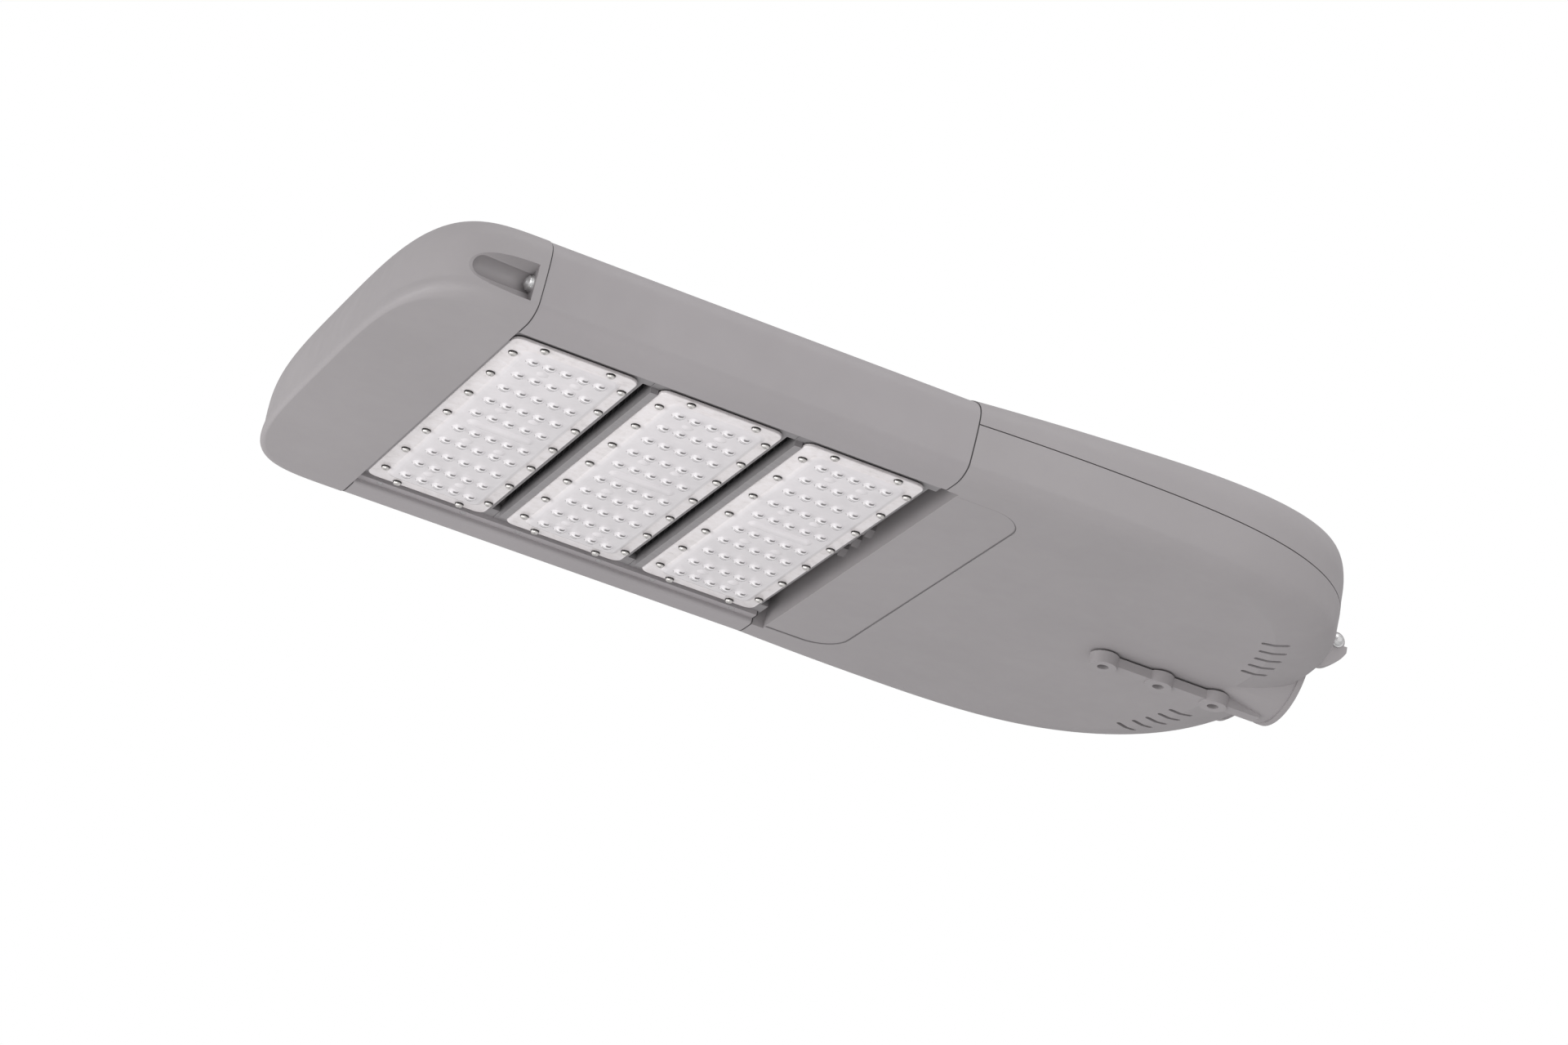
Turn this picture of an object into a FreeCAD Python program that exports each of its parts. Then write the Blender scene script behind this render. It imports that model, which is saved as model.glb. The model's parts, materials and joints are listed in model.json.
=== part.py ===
import FreeCAD, Part
import math
import os
from FreeCAD import Vector

os.makedirs("parts", exist_ok=True)

# LED street light head. Millimetres, +Z up.
# The origin is the centre of the pole socket's mouth, +X is the way the pole leaves the socket,
# and the lenses look down. Left is -Y and right is +Y, as seen from the pole.

# Overall body
HALF_WIDTH = 183.4          # half width of the rails at their widest level
WIDEST_Z = 3.0
BOTTOM_Z = -34.5            # flat underside
CORNER_WIDTH = 18.0         # round lower long edges
CORNER_HEIGHT = 11.0
SIDE_DRAFT = 3.0            # the sides lean in by this much from the widest level to the round edges
SIDE_DRAFT_POWER = 1.6
CROWN_Z = 38.7              # top of the rails' section at the centre line
SHOULDER_POWER = 2.5        # superellipse of the upper section
WALL = 3.0                  # cast and extruded walls
CASTING_PROUD = 1.0         # castings stand this far outside the rails
FIT = 0.3                   # clearance between separate pieces
SEAM_GAP = 0.8              # between the driver box's two castings, held open by the seal
JOINT_GAP = 0.4             # between the rails' ends and the castings

# Lengths along the lamp
BOX_LENGTH = 327.0          # driver box, from the rails to the socket mouth
RAIL_LENGTH = 295.0
NOSE_LENGTH = 78.6

# Driver box outline
BOX_BULGE = 4.2             # how far the sides swell out behind the rails
BOX_SWELL_LENGTH = 102.0    # length over which they swell
TAIL_GAP = 2.0              # tail wall to the mouth plane
TAIL_POWER = 2.9            # superellipse of the tail's outline
TAIL_CHAMFER = 41.0         # length of the chamfer under the tail
TAIL_CHAMFER_RISE = 18.0
TAIL_CHAMFER_POWER = 2.3
TAIL_TOP_POWER = 4.25
TAIL_TOP_Z = 25.0           # the tail's wall is upright up to here
COVER_STEP = 1.04           # height of the cover's front edge over the rails' section
COVER_RISE = 0.0026         # further growth of the cover's height for each mm towards the tail
FRONT_SETBACK = 9.0         # front wall of the housing behind the rails' ends
FRONT_SETBACK_HALF = 150.0  # half width of that setback
FRONT_BAR = 5.0             # height of the bar left above the setback
SEAM_FLANGE = 7.0           # inward flange at the seam
SEAM_FLANGE_T = 4.0
GASKET_WIDTH = 3.0
GASKET_T = 2.0

# Nose outline
NOSE_POWER = 3.75
NOSE_LOW_POWER = 4.35
NOSE_TOP_POWER = 2.96       # how the front leans back above its lower edge
NOSE_FRONT_Z = -19.0
NOSE_CREASE = 3.0           # round lower edge of the front
NOSE_CREASE_H = 5.0

# Side rails
RAIL_TOP_HALF = 126.0       # inner edge of the rail's top
RAIL_LIP_HALF = 149.0       # inner lip of the rail's underside
RAIL_LIP_R = 2.5
LEDGE_WIDTH = 10.0
LEDGE_T = 3.0
PORT_R = 5.5
PORT_HOLE_R = 2.2
PORTS = ((175.0, -13.0), (160.0, -26.0))   # |y|, z of the screw ports
PORT_WEB = 3.0

# Nose pocket
POCKET_LENGTH = 54.0
POCKET_R = 11.8
POCKET_DEPTH_Y = 183.0
POCKET_Z = -15.0
POCKET_WALL_T = 6.0
POCKET_GROOVE_R = 6.5
POCKET_GROOVE_SHARE = 0.6   # length of the screw's trough against the pocket's

# LED modules
MODULES = 3
MODULE_PITCH = 100.0
PLATE_WIDTH = 84.8
PLATE_LENGTH = 270.4
PLATE_SHIFT = -1.8          # plate's middle from the middle of its screws
PLATE_FIELD = (66.0, 251.5)
PLATE_FACE_Z = -31.0
PLATE_FLANGE_T = 2.5
PLATE_CORNER_R = 6.5
PLATE_FIELD_RISE = 1.4
PLATE_FIELD_WALL = 1.8
LENS_COLUMNS = 5
LENS_ROWS = 10
LENS_PITCH_X = 11.4
LENS_PITCH_Y = 24.4
LENS_MIDDLE_GAP = 30.8
LENS_R = 4.3
LENS_H = 3.2
LENS_SIDES = 8
BAR_BULGE_LENGTH = 46.0
BAR_BULGE_WIDTH = 10.0
BAR_BULGE_H = 1.2
SPOT_BULGE_R = 4.2
SPOT_BULGE_H = 0.9
SCREW_ROW_X = 37.0
SCREW_PITCH_Y = 38.1
SCREWS_PER_ROW = 7
END_SCREW_X = 22.4
END_SCREW_Y = 131.7
LENS_SCREW_HEAD_R = 3.1
LENS_SCREW_HEAD_H = 2.2
LENS_SCREW_R = 1.4
LENS_SCREW_LENGTH = 6.0
SCREW_CLEARANCE = 0.15
GASKET_LENS_T = 1.0

SINK_BASE_T = 5.0
SINK_LEFT = 49.5            # base past the module's middle on the nose side
SINK_RIGHT = 44.5
SINK_SIDE_BAR = 5.0
SINK_SIDE_BAR_H = 4.0
SINK_END_FROM = 129.0       # the wide ends of the base start here
MODULE_SCREW_INSET = 4.0    # module screws from the rails' lips
MODULE_SCREW_X = 30.0
FIN_T = 1.6
FIN_PITCH = 10.36
FIN_COUNT = 25
FIN_TOP_Z = 22.0

BOARD_T = 1.6
BOARD_MARGIN = 3.0
LED_SIZE = 3.5
LED_H = 0.7

# Pole socket
SOCKET_R = 40.0
SOCKET_RIM_R = 41.0
SOCKET_RIM_LENGTH = 4.0
SOCKET_BORE_R = 33.0
SOCKET_DEPTH = 150.0
SOCKET_END_T = 7.0
COVER_ARCH_GAP = 0.6
TAIL_BLOCK_LENGTH = 66.0    # solid casting between the socket and the tail wall
TAIL_BLOCK_HALF = 33.0

# Clamp bosses under the socket
BOSS_COUNT = 3
BOSS_FIRST_X = -46.4
BOSS_PITCH = 42.4
BOSS_R = 9.3
BOSS_BASE_R = 10.0
BOSS_END_Z = -44.0
BOSS_HOLE_R = 4.0
RIB_HALF = 5.0
RIB_Z = -42.5
RIB_END_X = -13.0

# Shallow pad on the underside behind the modules
PAD_LENGTH = 52.5
PAD_HALF = 147.0
PAD_DEPTH = 0.6
PAD_CORNER_R = 25.0

# Vent slots under the tail
VENTS = 5
VENT_FIRST_Y = 49.2
VENT_PITCH = 12.5
VENT_LENGTH = 19.0          # half of it on the flat, half on the chamfer
VENT_WIDTH = 3.4
VENT_FIRST_TURN = 6.0
VENT_TURN = 3.7

# Tail ears
EAR_Y = 70.0
EAR_T = 6.0
EAR_SCREW_X = 2.0
EAR_RING_R = 6.2
EAR_REACH = 10.5
EAR_DROP = 21.0
EAR_ROOT_X = -16.0
EAR_SCREW_R = 2.0
EAR_SCREW_LENGTH = 12.0

# Gear in the driver box
TRAY_Z = -28.0
TRAY_T = 1.5
TRAY_SCREW_LENGTH = 4.4
TRAY_X = (-306.0, -166.0)
TRAY_HALF = 150.0
POST_R = 5.0
POST_X = (-298.0, -174.0)
POST_Y = 138.0
DRIVER_SIZE = (68.0, 190.0, 36.0)
DRIVER_X = -290.0
SURGE_SIZE = (52.0, 34.0, 26.0)
TERMINAL_SIZE = (22.0, 46.0, 18.0)
LEAD_R = 2.75
LEAD_Z = -14.0
BOOT_SIZE = (16.0, 8.0, 13.0)
GLAND_R = 7.0
GROMMET_R = 9.0
GROMMET_LIP = 3.0           # how far its two lips reach past the hole
GROMMET_LIP_T = 2.0
CABLE_R = 5.0

# Fasteners, nominal radii and heads
M5_R, M5_HEAD_R, M5_HEAD_H = 2.1, 4.7, 3.4
M4_R, M4_HEAD_R, M4_HEAD_H = 1.8, 3.8, 2.6
WASHER_T = 1.2

# Worked out places
CORNER_Z = BOTTOM_Z + CORNER_HEIGHT
CHAMFER_Z = BOTTOM_Z + TAIL_CHAMFER_RISE
BOX_X = -BOX_LENGTH
RAIL_X = BOX_X - RAIL_LENGTH
SWELL_X = BOX_X + BOX_SWELL_LENGTH
TAIL_A = -TAIL_GAP - SWELL_X
BOX_B = HALF_WIDTH + BOX_BULGE
FRONT_X = BOX_X + FRONT_SETBACK
LEDGE_Z = PLATE_FACE_Z + PLATE_FLANGE_T + GASKET_LENS_T
SINK_BASE_Z = LEDGE_Z
SINK_TOP_Z = SINK_BASE_Z + SINK_BASE_T
SINK_HALF_LENGTH = FRONT_SETBACK_HALF - FIT
MODULE_X = [RAIL_X + RAIL_LENGTH / 2 - 0.5 + (k - (MODULES - 1) / 2) * MODULE_PITCH for k in range(MODULES)]
LEAD_Y = [(2 * k - 1.5) * FIN_PITCH for k in range(MODULES)]
PLATE_BACK_Z = PLATE_FACE_Z + PLATE_FLANGE_T
FIELD_Z = PLATE_FACE_Z - PLATE_FIELD_RISE
TRAY_TOP = TRAY_Z + TRAY_T
FLOOR_Z = BOTTOM_Z + WALL


def box(x0, x1, y0, y1, z0, z1):
    return Part.makeBox(x1 - x0, y1 - y0, z1 - z0, Vector(x0, y0, z0))


def rod(x, y, z, radius, length, axis):
    return Part.makeCylinder(radius, length, Vector(x, y, z), axis)


def both_sides(shape):
    """The shape and its mirror image across the lamp's middle plane."""
    return [shape, shape.mirror(Vector(0, 0, 0), Vector(0, 1, 0))]


def fused(first, others):
    return first.fuse(others).removeSplitter()


def rounded_plate(length_x, length_y, radius, z0, z1, x=0.0, y=0.0):
    """A plate with rounded corners, centred at x, y."""
    plate = box(x - length_x / 2, x + length_x / 2, y - length_y / 2, y + length_y / 2, z0, z1)
    upright = [e for e in plate.Edges if abs(e.Vertexes[0].Z - e.Vertexes[-1].Z) > 0.9 * (z1 - z0)]
    return plate.makeFillet(radius, upright)


# Section of the body, shared by the nose, the rails and the driver box

def between(a, b, share):
    return a + (b - a) * min(1.0, max(0.0, share))


def upper_inset(z, half, power, base):
    """Set-in of the side at a level above the base: a superellipse up to the crown."""
    t = min(1.0, max(0.0, (z - base) / (CROWN_Z - base)))
    return half * (1 - (1 - t ** power) ** (1 / power))


def side_inset(z):
    """Set-in of the side at a level: a round lower edge, a drafted side, and the shoulder up to the crown."""
    if z < CORNER_Z:
        t = min(1.0, (CORNER_Z - z) / CORNER_HEIGHT)
        return SIDE_DRAFT + CORNER_WIDTH * (1 - math.sqrt(1 - t * t))
    if z < WIDEST_Z:
        return SIDE_DRAFT * ((WIDEST_Z - z) / (WIDEST_Z - CORNER_Z)) ** SIDE_DRAFT_POWER
    return upper_inset(z, HALF_WIDTH, SHOULDER_POWER, WIDEST_Z)


def tail_inset(z):
    if z < CHAMFER_Z:
        u = max(0.0, (z - BOTTOM_Z) / TAIL_CHAMFER_RISE)
        return TAIL_CHAMFER * (1 - u) ** TAIL_CHAMFER_POWER
    return upper_inset(z, TAIL_A, TAIL_TOP_POWER, TAIL_TOP_Z)


def nose_inset(z):
    t = min(1.0, max(0.0, (BOTTOM_Z + NOSE_CREASE_H - z) / NOSE_CREASE_H))
    crease = NOSE_CREASE * (1 - math.sqrt(1 - t * t))
    return crease + upper_inset(z, NOSE_LENGTH, NOSE_TOP_POWER, NOSE_FRONT_Z)


CORNER_LEVELS = [BOTTOM_Z + CORNER_HEIGHT * (1 - math.cos(math.radians(a))) for a in (0, 15, 30, 45, 60, 75, 90)]
LOWER_LEVELS = CORNER_LEVELS + [CORNER_Z * i / 7 for i in range(6, -1, -1)]
INNER_LEVELS = [z + WALL for z in CORNER_LEVELS] + [(CORNER_Z + WALL) * i / 5 for i in range(4, -1, -1)]
SHOULDER_STEPS = [math.sin(math.radians(a)) ** (2 / SHOULDER_POWER) for a in (8, 18, 30, 42, 53, 63, 71, 77)]
UPPER_LEVELS = [0.0] + [WIDEST_Z + (CROWN_Z - WIDEST_Z) * f for f in SHOULDER_STEPS]


def closed_slice(points):
    """A flat outline: a curve through the points and the straight line that joins its ends."""
    curve = Part.BSplineCurve()
    curve.interpolate(Points=points)
    return Part.Wire([curve.toShape(), Part.makeLine(points[-1], points[0])])


def edge_between(shape, a, b):
    """The edge of a shape that runs from one point to the other."""
    for edge in shape.Edges:
        first = edge.Vertexes[0].Point
        last = edge.Vertexes[-1].Point
        if min((first - a).Length + (last - b).Length, (first - b).Length + (last - a).Length) < 0.01:
            return edge
    return None


def skinned(slices):
    """A solid with one smooth surface over its slices, and flat faces below, above and across their ends."""
    surface = Part.BSplineSurface()
    surface.interpolate(slices)
    skin = surface.toShape()
    corners = [slices[0][0], slices[0][-1], slices[-1][-1], slices[-1][0]]
    low, side, high, other_side = [edge_between(skin, corners[i - 1], corners[i]) for i in (1, 2, 3, 0)]
    low_line = Part.makeLine(corners[0], corners[1])
    high_line = Part.makeLine(corners[3], corners[2])
    faces = [skin]
    for edges in ([low, low_line], [high, high_line], [side, other_side, low_line, high_line]):
        faces.append(Part.Face(Part.Wire(Part.__sortEdges__(edges))))
    shell = Part.makeShell(faces)
    shell.sewShape()
    solid = Part.makeSolid(shell)
    if solid.Volume < 0:
        solid.reverse()
    return solid


def power_arc(a, b, power, angle):
    """A point of a superellipse: 0 degrees at -b, 90 at a, 180 at +b."""
    s = math.sin(math.radians(angle)) if 0 < angle < 180 else 0.0
    c = math.cos(math.radians(angle))
    return a * abs(s) ** (2 / power), -math.copysign(b * abs(c) ** (2 / power), c)


TAIL_ANGLES = [i * 9.0 for i in range(21)]
NOSE_QUARTER = [0, 1.2, 4.5, 9.5, 16, 24, 34, 45, 56, 66, 74, 80.5, 85.5, 88.8]
NOSE_ANGLES = NOSE_QUARTER + [90] + [180 - angle for angle in reversed(NOSE_QUARTER)]


def box_slice(z, inset=0.0, shift=0.0, lift=False):
    """Outline of the driver box at a level. Inset makes inner walls, shift follows the wall's thickness,
    and lift raises the cover's slices towards the tail."""
    a = TAIL_A - inset - tail_inset(z + shift)
    b = BOX_B - inset - side_inset(z + shift)
    front = BOX_X + JOINT_GAP + inset
    half = []
    for f in (0.0, 0.25, 0.5, 0.75):
        x = front + (SWELL_X - front) * f
        half.append((x, -(b - BOX_BULGE * ((SWELL_X - x) / BOX_SWELL_LENGTH) ** 2)))
    arc = [power_arc(a, b, TAIL_POWER, angle) for angle in TAIL_ANGLES]
    outline = half + [(SWELL_X + x, y) for x, y in arc] + [(x, -y) for x, y in reversed(half)]

    def height(x):
        rise = (z - SEAM_GAP) * (COVER_STEP + COVER_RISE * (x - BOX_X))
        return SEAM_GAP + rise if lift else z
    return [Vector(x, y, height(x)) for x, y in outline]


def nose_slice(z, inset=0.0, shift=0.0):
    a = NOSE_LENGTH - inset - nose_inset(z + shift)
    b = HALF_WIDTH + CASTING_PROUD - inset - side_inset(z + shift)
    power = between(NOSE_LOW_POWER, NOSE_POWER, (z + shift - BOTTOM_Z) / CORNER_HEIGHT)
    arc = [power_arc(a, b, power, angle) for angle in NOSE_ANGLES]
    return [Vector(RAIL_X - JOINT_GAP - x, y, z) for x, y in arc]


def inner_shift(z):
    """Inner walls follow the outer ones at a wall's thickness below them in the round edge, and beside them above."""
    return -WALL if z <= CORNER_Z + WALL + 0.01 else 0.0


# Side rails

def rail_outline(wall):
    """Half section of the rail's outer or inner face, from the lip to the top edge."""
    levels = CORNER_LEVELS + [CHAMFER_Z, CHAMFER_Z / 2, WIDEST_Z]
    top = WIDEST_Z
    while HALF_WIDTH - side_inset(top) > RAIL_TOP_HALF:
        top += 0.1
    levels += [WIDEST_Z + (top - WIDEST_Z) * i / 7 for i in range(1, 8)]
    points = []
    step = 0.05
    for z in levels:
        low = max(z - step, BOTTOM_Z)
        dy = side_inset(low) - side_inset(z + step)
        length = math.hypot(dy, z + step - low)
        normal_y = (z + step - low) / length if z > BOTTOM_Z else 0.0
        normal_z = -dy / length if z > BOTTOM_Z else -1.0
        points.append(Vector(0, HALF_WIDTH - side_inset(z) - wall * normal_y, z - wall * normal_z))
    curve = Part.BSplineCurve()
    curve.interpolate(Points=points)
    start = Vector(0, RAIL_LIP_HALF, BOTTOM_Z + wall)
    return [Part.makeLine(start, points[0]), curve.toShape()]


def rail():
    """The right rail: skin, inner lip, ledge for the modules and two screw ports."""
    outer = rail_outline(0.0)
    inner = rail_outline(WALL)
    lip = Part.makeLine(outer[0].Vertexes[0].Point, inner[0].Vertexes[0].Point)
    top = Part.makeLine(outer[-1].Vertexes[-1].Point, inner[-1].Vertexes[-1].Point)
    skin = Part.Face(Part.Wire(Part.__sortEdges__(outer + inner + [lip, top])))
    skin = skin.extrude(Vector(RAIL_LENGTH, 0, 0))
    ledge_in = RAIL_LIP_HALF - LEDGE_WIDTH + WALL
    pieces = [
        box(0, RAIL_LENGTH, RAIL_LIP_HALF, RAIL_LIP_HALF + WALL, BOTTOM_Z + WALL / 2, LEDGE_Z),
        box(0, RAIL_LENGTH, ledge_in, RAIL_LIP_HALF + WALL, LEDGE_Z - LEDGE_T, LEDGE_Z),
    ]
    y, z = PORTS[0]
    side = HALF_WIDTH - side_inset(z) - WALL / 2
    pieces.append(box(0, RAIL_LENGTH, y, side, z - PORT_WEB / 2, z + PORT_WEB / 2))
    y, z = PORTS[1]
    pieces.append(box(0, RAIL_LENGTH, y - PORT_WEB / 2, y + PORT_WEB / 2, BOTTOM_Z + WALL / 2, z))
    along = Vector(1, 0, 0)
    pieces += [rod(0, y, z, PORT_R, RAIL_LENGTH, along) for y, z in PORTS]
    body = skin.fuse(pieces)
    body = body.cut([rod(0, y, z, PORT_HOLE_R, RAIL_LENGTH, along) for y, z in PORTS])
    body = body.removeSplitter()
    edge = edge_between(body, Vector(0, RAIL_LIP_HALF, BOTTOM_Z), Vector(RAIL_LENGTH, RAIL_LIP_HALF, BOTTOM_Z))
    body = body.makeFillet(RAIL_LIP_R, [edge])
    body.translate(Vector(RAIL_X, 0, 0))
    return body


# Nose cap

def pocket(radius, length):
    """A bullet shape along X, with its flat end at the pocket's wall."""
    wall_x = RAIL_X - POCKET_WALL_T
    arc = Part.Ellipse(Vector(0, 0, 0), length, radius)
    quarter = Part.Arc(arc, 0, math.pi / 2).toShape()
    tip = Vector(length, 0, 0)
    ends = [Part.makeLine(Vector(0, radius, 0), Vector(0, 0, 0)), Part.makeLine(Vector(0, 0, 0), tip)]
    face = Part.Face(Part.Wire(Part.__sortEdges__([quarter] + ends)))
    shape = face.revolve(Vector(0, 0, 0), Vector(1, 0, 0), 360)
    shape.rotate(Vector(0, 0, 0), Vector(0, 0, 1), 180)
    shape.translate(Vector(wall_x, -POCKET_DEPTH_Y, POCKET_Z))
    return shape


def trough(y, z, radius):
    """The way in for the screw and its driver, with a round end."""
    length = POCKET_LENGTH * POCKET_GROOVE_SHARE
    x = RAIL_X - POCKET_WALL_T - length
    return [rod(x, y, z, radius, length, Vector(1, 0, 0)), Part.makeSphere(radius, Vector(x, y, z))]


def nose_cap():
    levels = LOWER_LEVELS + UPPER_LEVELS[1:]
    outer = skinned([nose_slice(z) for z in levels])
    inner = [nose_slice(z, WALL, inner_shift(z)) for z in INNER_LEVELS]
    inner += [nose_slice(z - WALL, WALL, WALL) for z in UPPER_LEVELS[1:]]
    cavity = skinned(inner)
    wall_x = RAIL_X - POCKET_WALL_T
    y, z = PORTS[0]
    along = Vector(1, 0, 0)
    shells = []
    pockets = []
    for shape in both_sides(pocket(POCKET_R + WALL, POCKET_LENGTH + WALL)):
        shells.append(shape)
    for side in (-1, 1):
        shells.append(rod(wall_x, side * POCKET_DEPTH_Y, POCKET_Z, POCKET_R + WALL, POCKET_WALL_T, along))
        shells += trough(side * y, z, POCKET_GROOVE_R + WALL)
        shells.append(rod(wall_x, side * y, z, POCKET_GROOVE_R + WALL, POCKET_WALL_T, along))
    cavity = cavity.cut(shells)
    for shape in both_sides(pocket(POCKET_R, POCKET_LENGTH)):
        pockets.append(shape)
    for side in (-1, 1):
        pockets += trough(side * y, z, POCKET_GROOVE_R)
        pockets.append(rod(wall_x - 1, side * y, z, M5_R + FIT, POCKET_WALL_T + 2, along))
    return outer.cut(cavity).cut(pockets)


def pan_screw(radius, length, head_r, head_h):
    """A pan head screw along +Z, with its head below the origin."""
    crown = head_r * 0.45
    profile = [(0, -head_h), (crown, -head_h), (head_r, -head_h * 0.45), (head_r, 0), (radius, 0),
               (radius, length), (0, length)]
    points = [Vector(r, 0, z) for r, z in profile]
    face = Part.Face(Part.makePolygon(points + [points[0]]))
    return face.revolve(Vector(0, 0, 0), Vector(0, 0, 1), 360)


def washer(radius, hole):
    return Part.makeCylinder(radius, WASHER_T).cut(Part.makeCylinder(hole, WASHER_T))


def placed(shape, x, y, z, towards):
    """A copy of a shape drawn along +Z, turned to point another way and moved."""
    copy = shape.copy()
    turn = FreeCAD.Rotation(Vector(0, 0, 1), towards)
    copy.Placement = FreeCAD.Placement(Vector(x, y, z), turn)
    return copy


def nose_fasteners():
    y, z = PORTS[0]
    x = RAIL_X - POCKET_WALL_T
    along = Vector(1, 0, 0)
    screw = pan_screw(M5_R, POCKET_WALL_T + 12, M5_HEAD_R, M5_HEAD_H)
    ring = washer(M5_HEAD_R + 0.6, M5_R + SCREW_CLEARANCE)
    screws = [placed(screw, x - WASHER_T, side * y, z, along) for side in (-1, 1)]
    rings = [placed(ring, x - WASHER_T, side * y, z, along) for side in (-1, 1)]
    return screws, rings


# LED modules

def screw_places():
    """The 18 screws of a lens plate, from the module's middle."""
    first = -(SCREWS_PER_ROW - 1) / 2
    rows = [(side * SCREW_ROW_X, (first + i) * SCREW_PITCH_Y) for side in (-1, 1) for i in range(SCREWS_PER_ROW)]
    ends = [(i * END_SCREW_X, j * END_SCREW_Y) for i in (-1, 1) for j in (-1, 1)]
    return rows + ends


def lens_places():
    half = LENS_ROWS // 2
    rows = [side * (LENS_MIDDLE_GAP / 2 + k * LENS_PITCH_Y) for side in (-1, 1) for k in range(half)]
    return [((c - (LENS_COLUMNS - 1) / 2) * LENS_PITCH_X, y) for c in range(LENS_COLUMNS) for y in rows]


def ring_of(radius, z, sides=LENS_SIDES):
    turn = 2 * math.pi / sides
    points = [Vector(radius * math.cos(i * turn), radius * math.sin(i * turn), z) for i in range(sides)]
    return Part.makePolygon(points + [points[0]])


def dome():
    """A lens below the plate's field, in flat facets."""
    levels = [(LENS_R, 0.4), (LENS_R * 0.8, -LENS_H * 0.62), (LENS_R * 0.36, -LENS_H)]
    rings = [ring_of(radius, z) for radius, z in levels]
    faces = [Part.Face(rings[0]), Part.Face(rings[-1])]
    for upper, lower in zip(rings, rings[1:]):
        for a, b in zip(upper.Edges, lower.Edges):
            corners = [a.Vertexes[0].Point, a.Vertexes[1].Point, b.Vertexes[1].Point, b.Vertexes[0].Point]
            faces.append(Part.Face(Part.makePolygon(corners + [corners[0]])))
    shell = Part.makeShell(faces)
    shell.sewShape()
    lens = Part.makeSolid(shell)
    if lens.Volume < 0:
        lens.reverse()
    return lens


def low_bulge(radius, height):
    return Part.makeCone(radius, radius * 0.6, height + 0.4, Vector(0, 0, 0.4), Vector(0, 0, -1))


def lens_plate():
    flange = rounded_plate(PLATE_WIDTH, PLATE_LENGTH, PLATE_CORNER_R, PLATE_FACE_Z, PLATE_BACK_Z, PLATE_SHIFT)
    field_x, field_y = PLATE_FIELD
    field = rounded_plate(field_x, field_y, PLATE_CORNER_R, FIELD_Z, PLATE_BACK_Z)
    bumps = []
    lens = dome()
    for x, y in lens_places():
        copy = lens.copy()
        copy.translate(Vector(x, y, FIELD_Z))
        bumps.append(copy)
    spot = low_bulge(SPOT_BULGE_R, SPOT_BULGE_H)
    for x in (-LENS_PITCH_X, LENS_PITCH_X):
        for side in (-1, 1):
            for step in (0.62, 3.5):
                copy = spot.copy()
                y = side * (LENS_MIDDLE_GAP / 2 + step * LENS_PITCH_Y)
                copy.translate(Vector(x, y, FIELD_Z))
                bumps.append(copy)
    bumps.append(rounded_plate(BAR_BULGE_LENGTH, BAR_BULGE_WIDTH, BAR_BULGE_WIDTH * 0.45,
                               FIELD_Z - BAR_BULGE_H, FIELD_Z + 0.4))
    body = flange.fuse([field] + bumps)
    hollow = rounded_plate(field_x - 2 * PLATE_FIELD_WALL, field_y - 2 * PLATE_FIELD_WALL,
                           PLATE_CORNER_R - PLATE_FIELD_WALL, FIELD_Z + PLATE_FIELD_WALL, PLATE_BACK_Z)
    hole = Part.makeCylinder(LENS_SCREW_R + SCREW_CLEARANCE, PLATE_FLANGE_T, Vector(0, 0, PLATE_FACE_Z))
    holes = []
    for x, y in screw_places():
        copy = hole.copy()
        copy.translate(Vector(x, y, 0))
        holes.append(copy)
    return body.cut([hollow] + holes).removeSplitter()


def lens_gasket():
    """A flat seal between the field's hollow and the screws."""
    field_x, field_y = PLATE_FIELD
    outside = rounded_plate(field_x + 2, field_y + 2, PLATE_CORNER_R, PLATE_BACK_Z, SINK_BASE_Z)
    inside = rounded_plate(field_x - 2 * PLATE_FIELD_WALL, field_y - 2 * PLATE_FIELD_WALL,
                           PLATE_CORNER_R - PLATE_FIELD_WALL, PLATE_BACK_Z, SINK_BASE_Z)
    return outside.cut(inside)


def led_board():
    """The board against the heat sink, with an LED behind each lens."""
    board_x = PLATE_FIELD[0] - 2 * PLATE_FIELD_WALL - BOARD_MARGIN
    board_y = PLATE_FIELD[1] - 2 * PLATE_FIELD_WALL - BOARD_MARGIN
    under = SINK_BASE_Z - BOARD_T
    board = box(-board_x / 2, board_x / 2, -board_y / 2, board_y / 2, under, SINK_BASE_Z)
    half = LED_SIZE / 2
    leds = [box(x - half, x + half, y - half, y + half, under - LED_H, under) for x, y in lens_places()]
    return fused(board, leds)


def heat_sink():
    """Base with its wide ends and side bar, and fins across the lamp's axis of flow."""
    base = box(-SINK_LEFT, SINK_RIGHT, -SINK_END_FROM, SINK_END_FROM, SINK_BASE_Z, SINK_TOP_Z)
    half_pitch = MODULE_PITCH / 2 - FIT / 2
    ends = both_sides(box(-half_pitch, half_pitch, SINK_END_FROM, SINK_HALF_LENGTH, SINK_BASE_Z, SINK_TOP_Z))
    bar = box(-SINK_LEFT, -SINK_LEFT + SINK_SIDE_BAR, -SINK_END_FROM, SINK_END_FROM,
              SINK_BASE_Z - SINK_SIDE_BAR_H, SINK_BASE_Z)
    fins = []
    for i in range(FIN_COUNT):
        y = (i - (FIN_COUNT - 1) / 2) * FIN_PITCH
        fins.append(box(-SINK_LEFT, SINK_RIGHT, y - FIN_T / 2, y + FIN_T / 2, SINK_TOP_Z - 0.5, FIN_TOP_Z))
    body = fused(base, ends + [bar] + fins)
    hole = Part.makeCylinder(LENS_SCREW_R + SCREW_CLEARANCE, LENS_SCREW_LENGTH, Vector(0, 0, PLATE_FACE_Z))
    holes = []
    for x, y in screw_places():
        copy = hole.copy()
        copy.translate(Vector(x, y, 0))
        holes.append(copy)
    return body.cut(holes)


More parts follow.
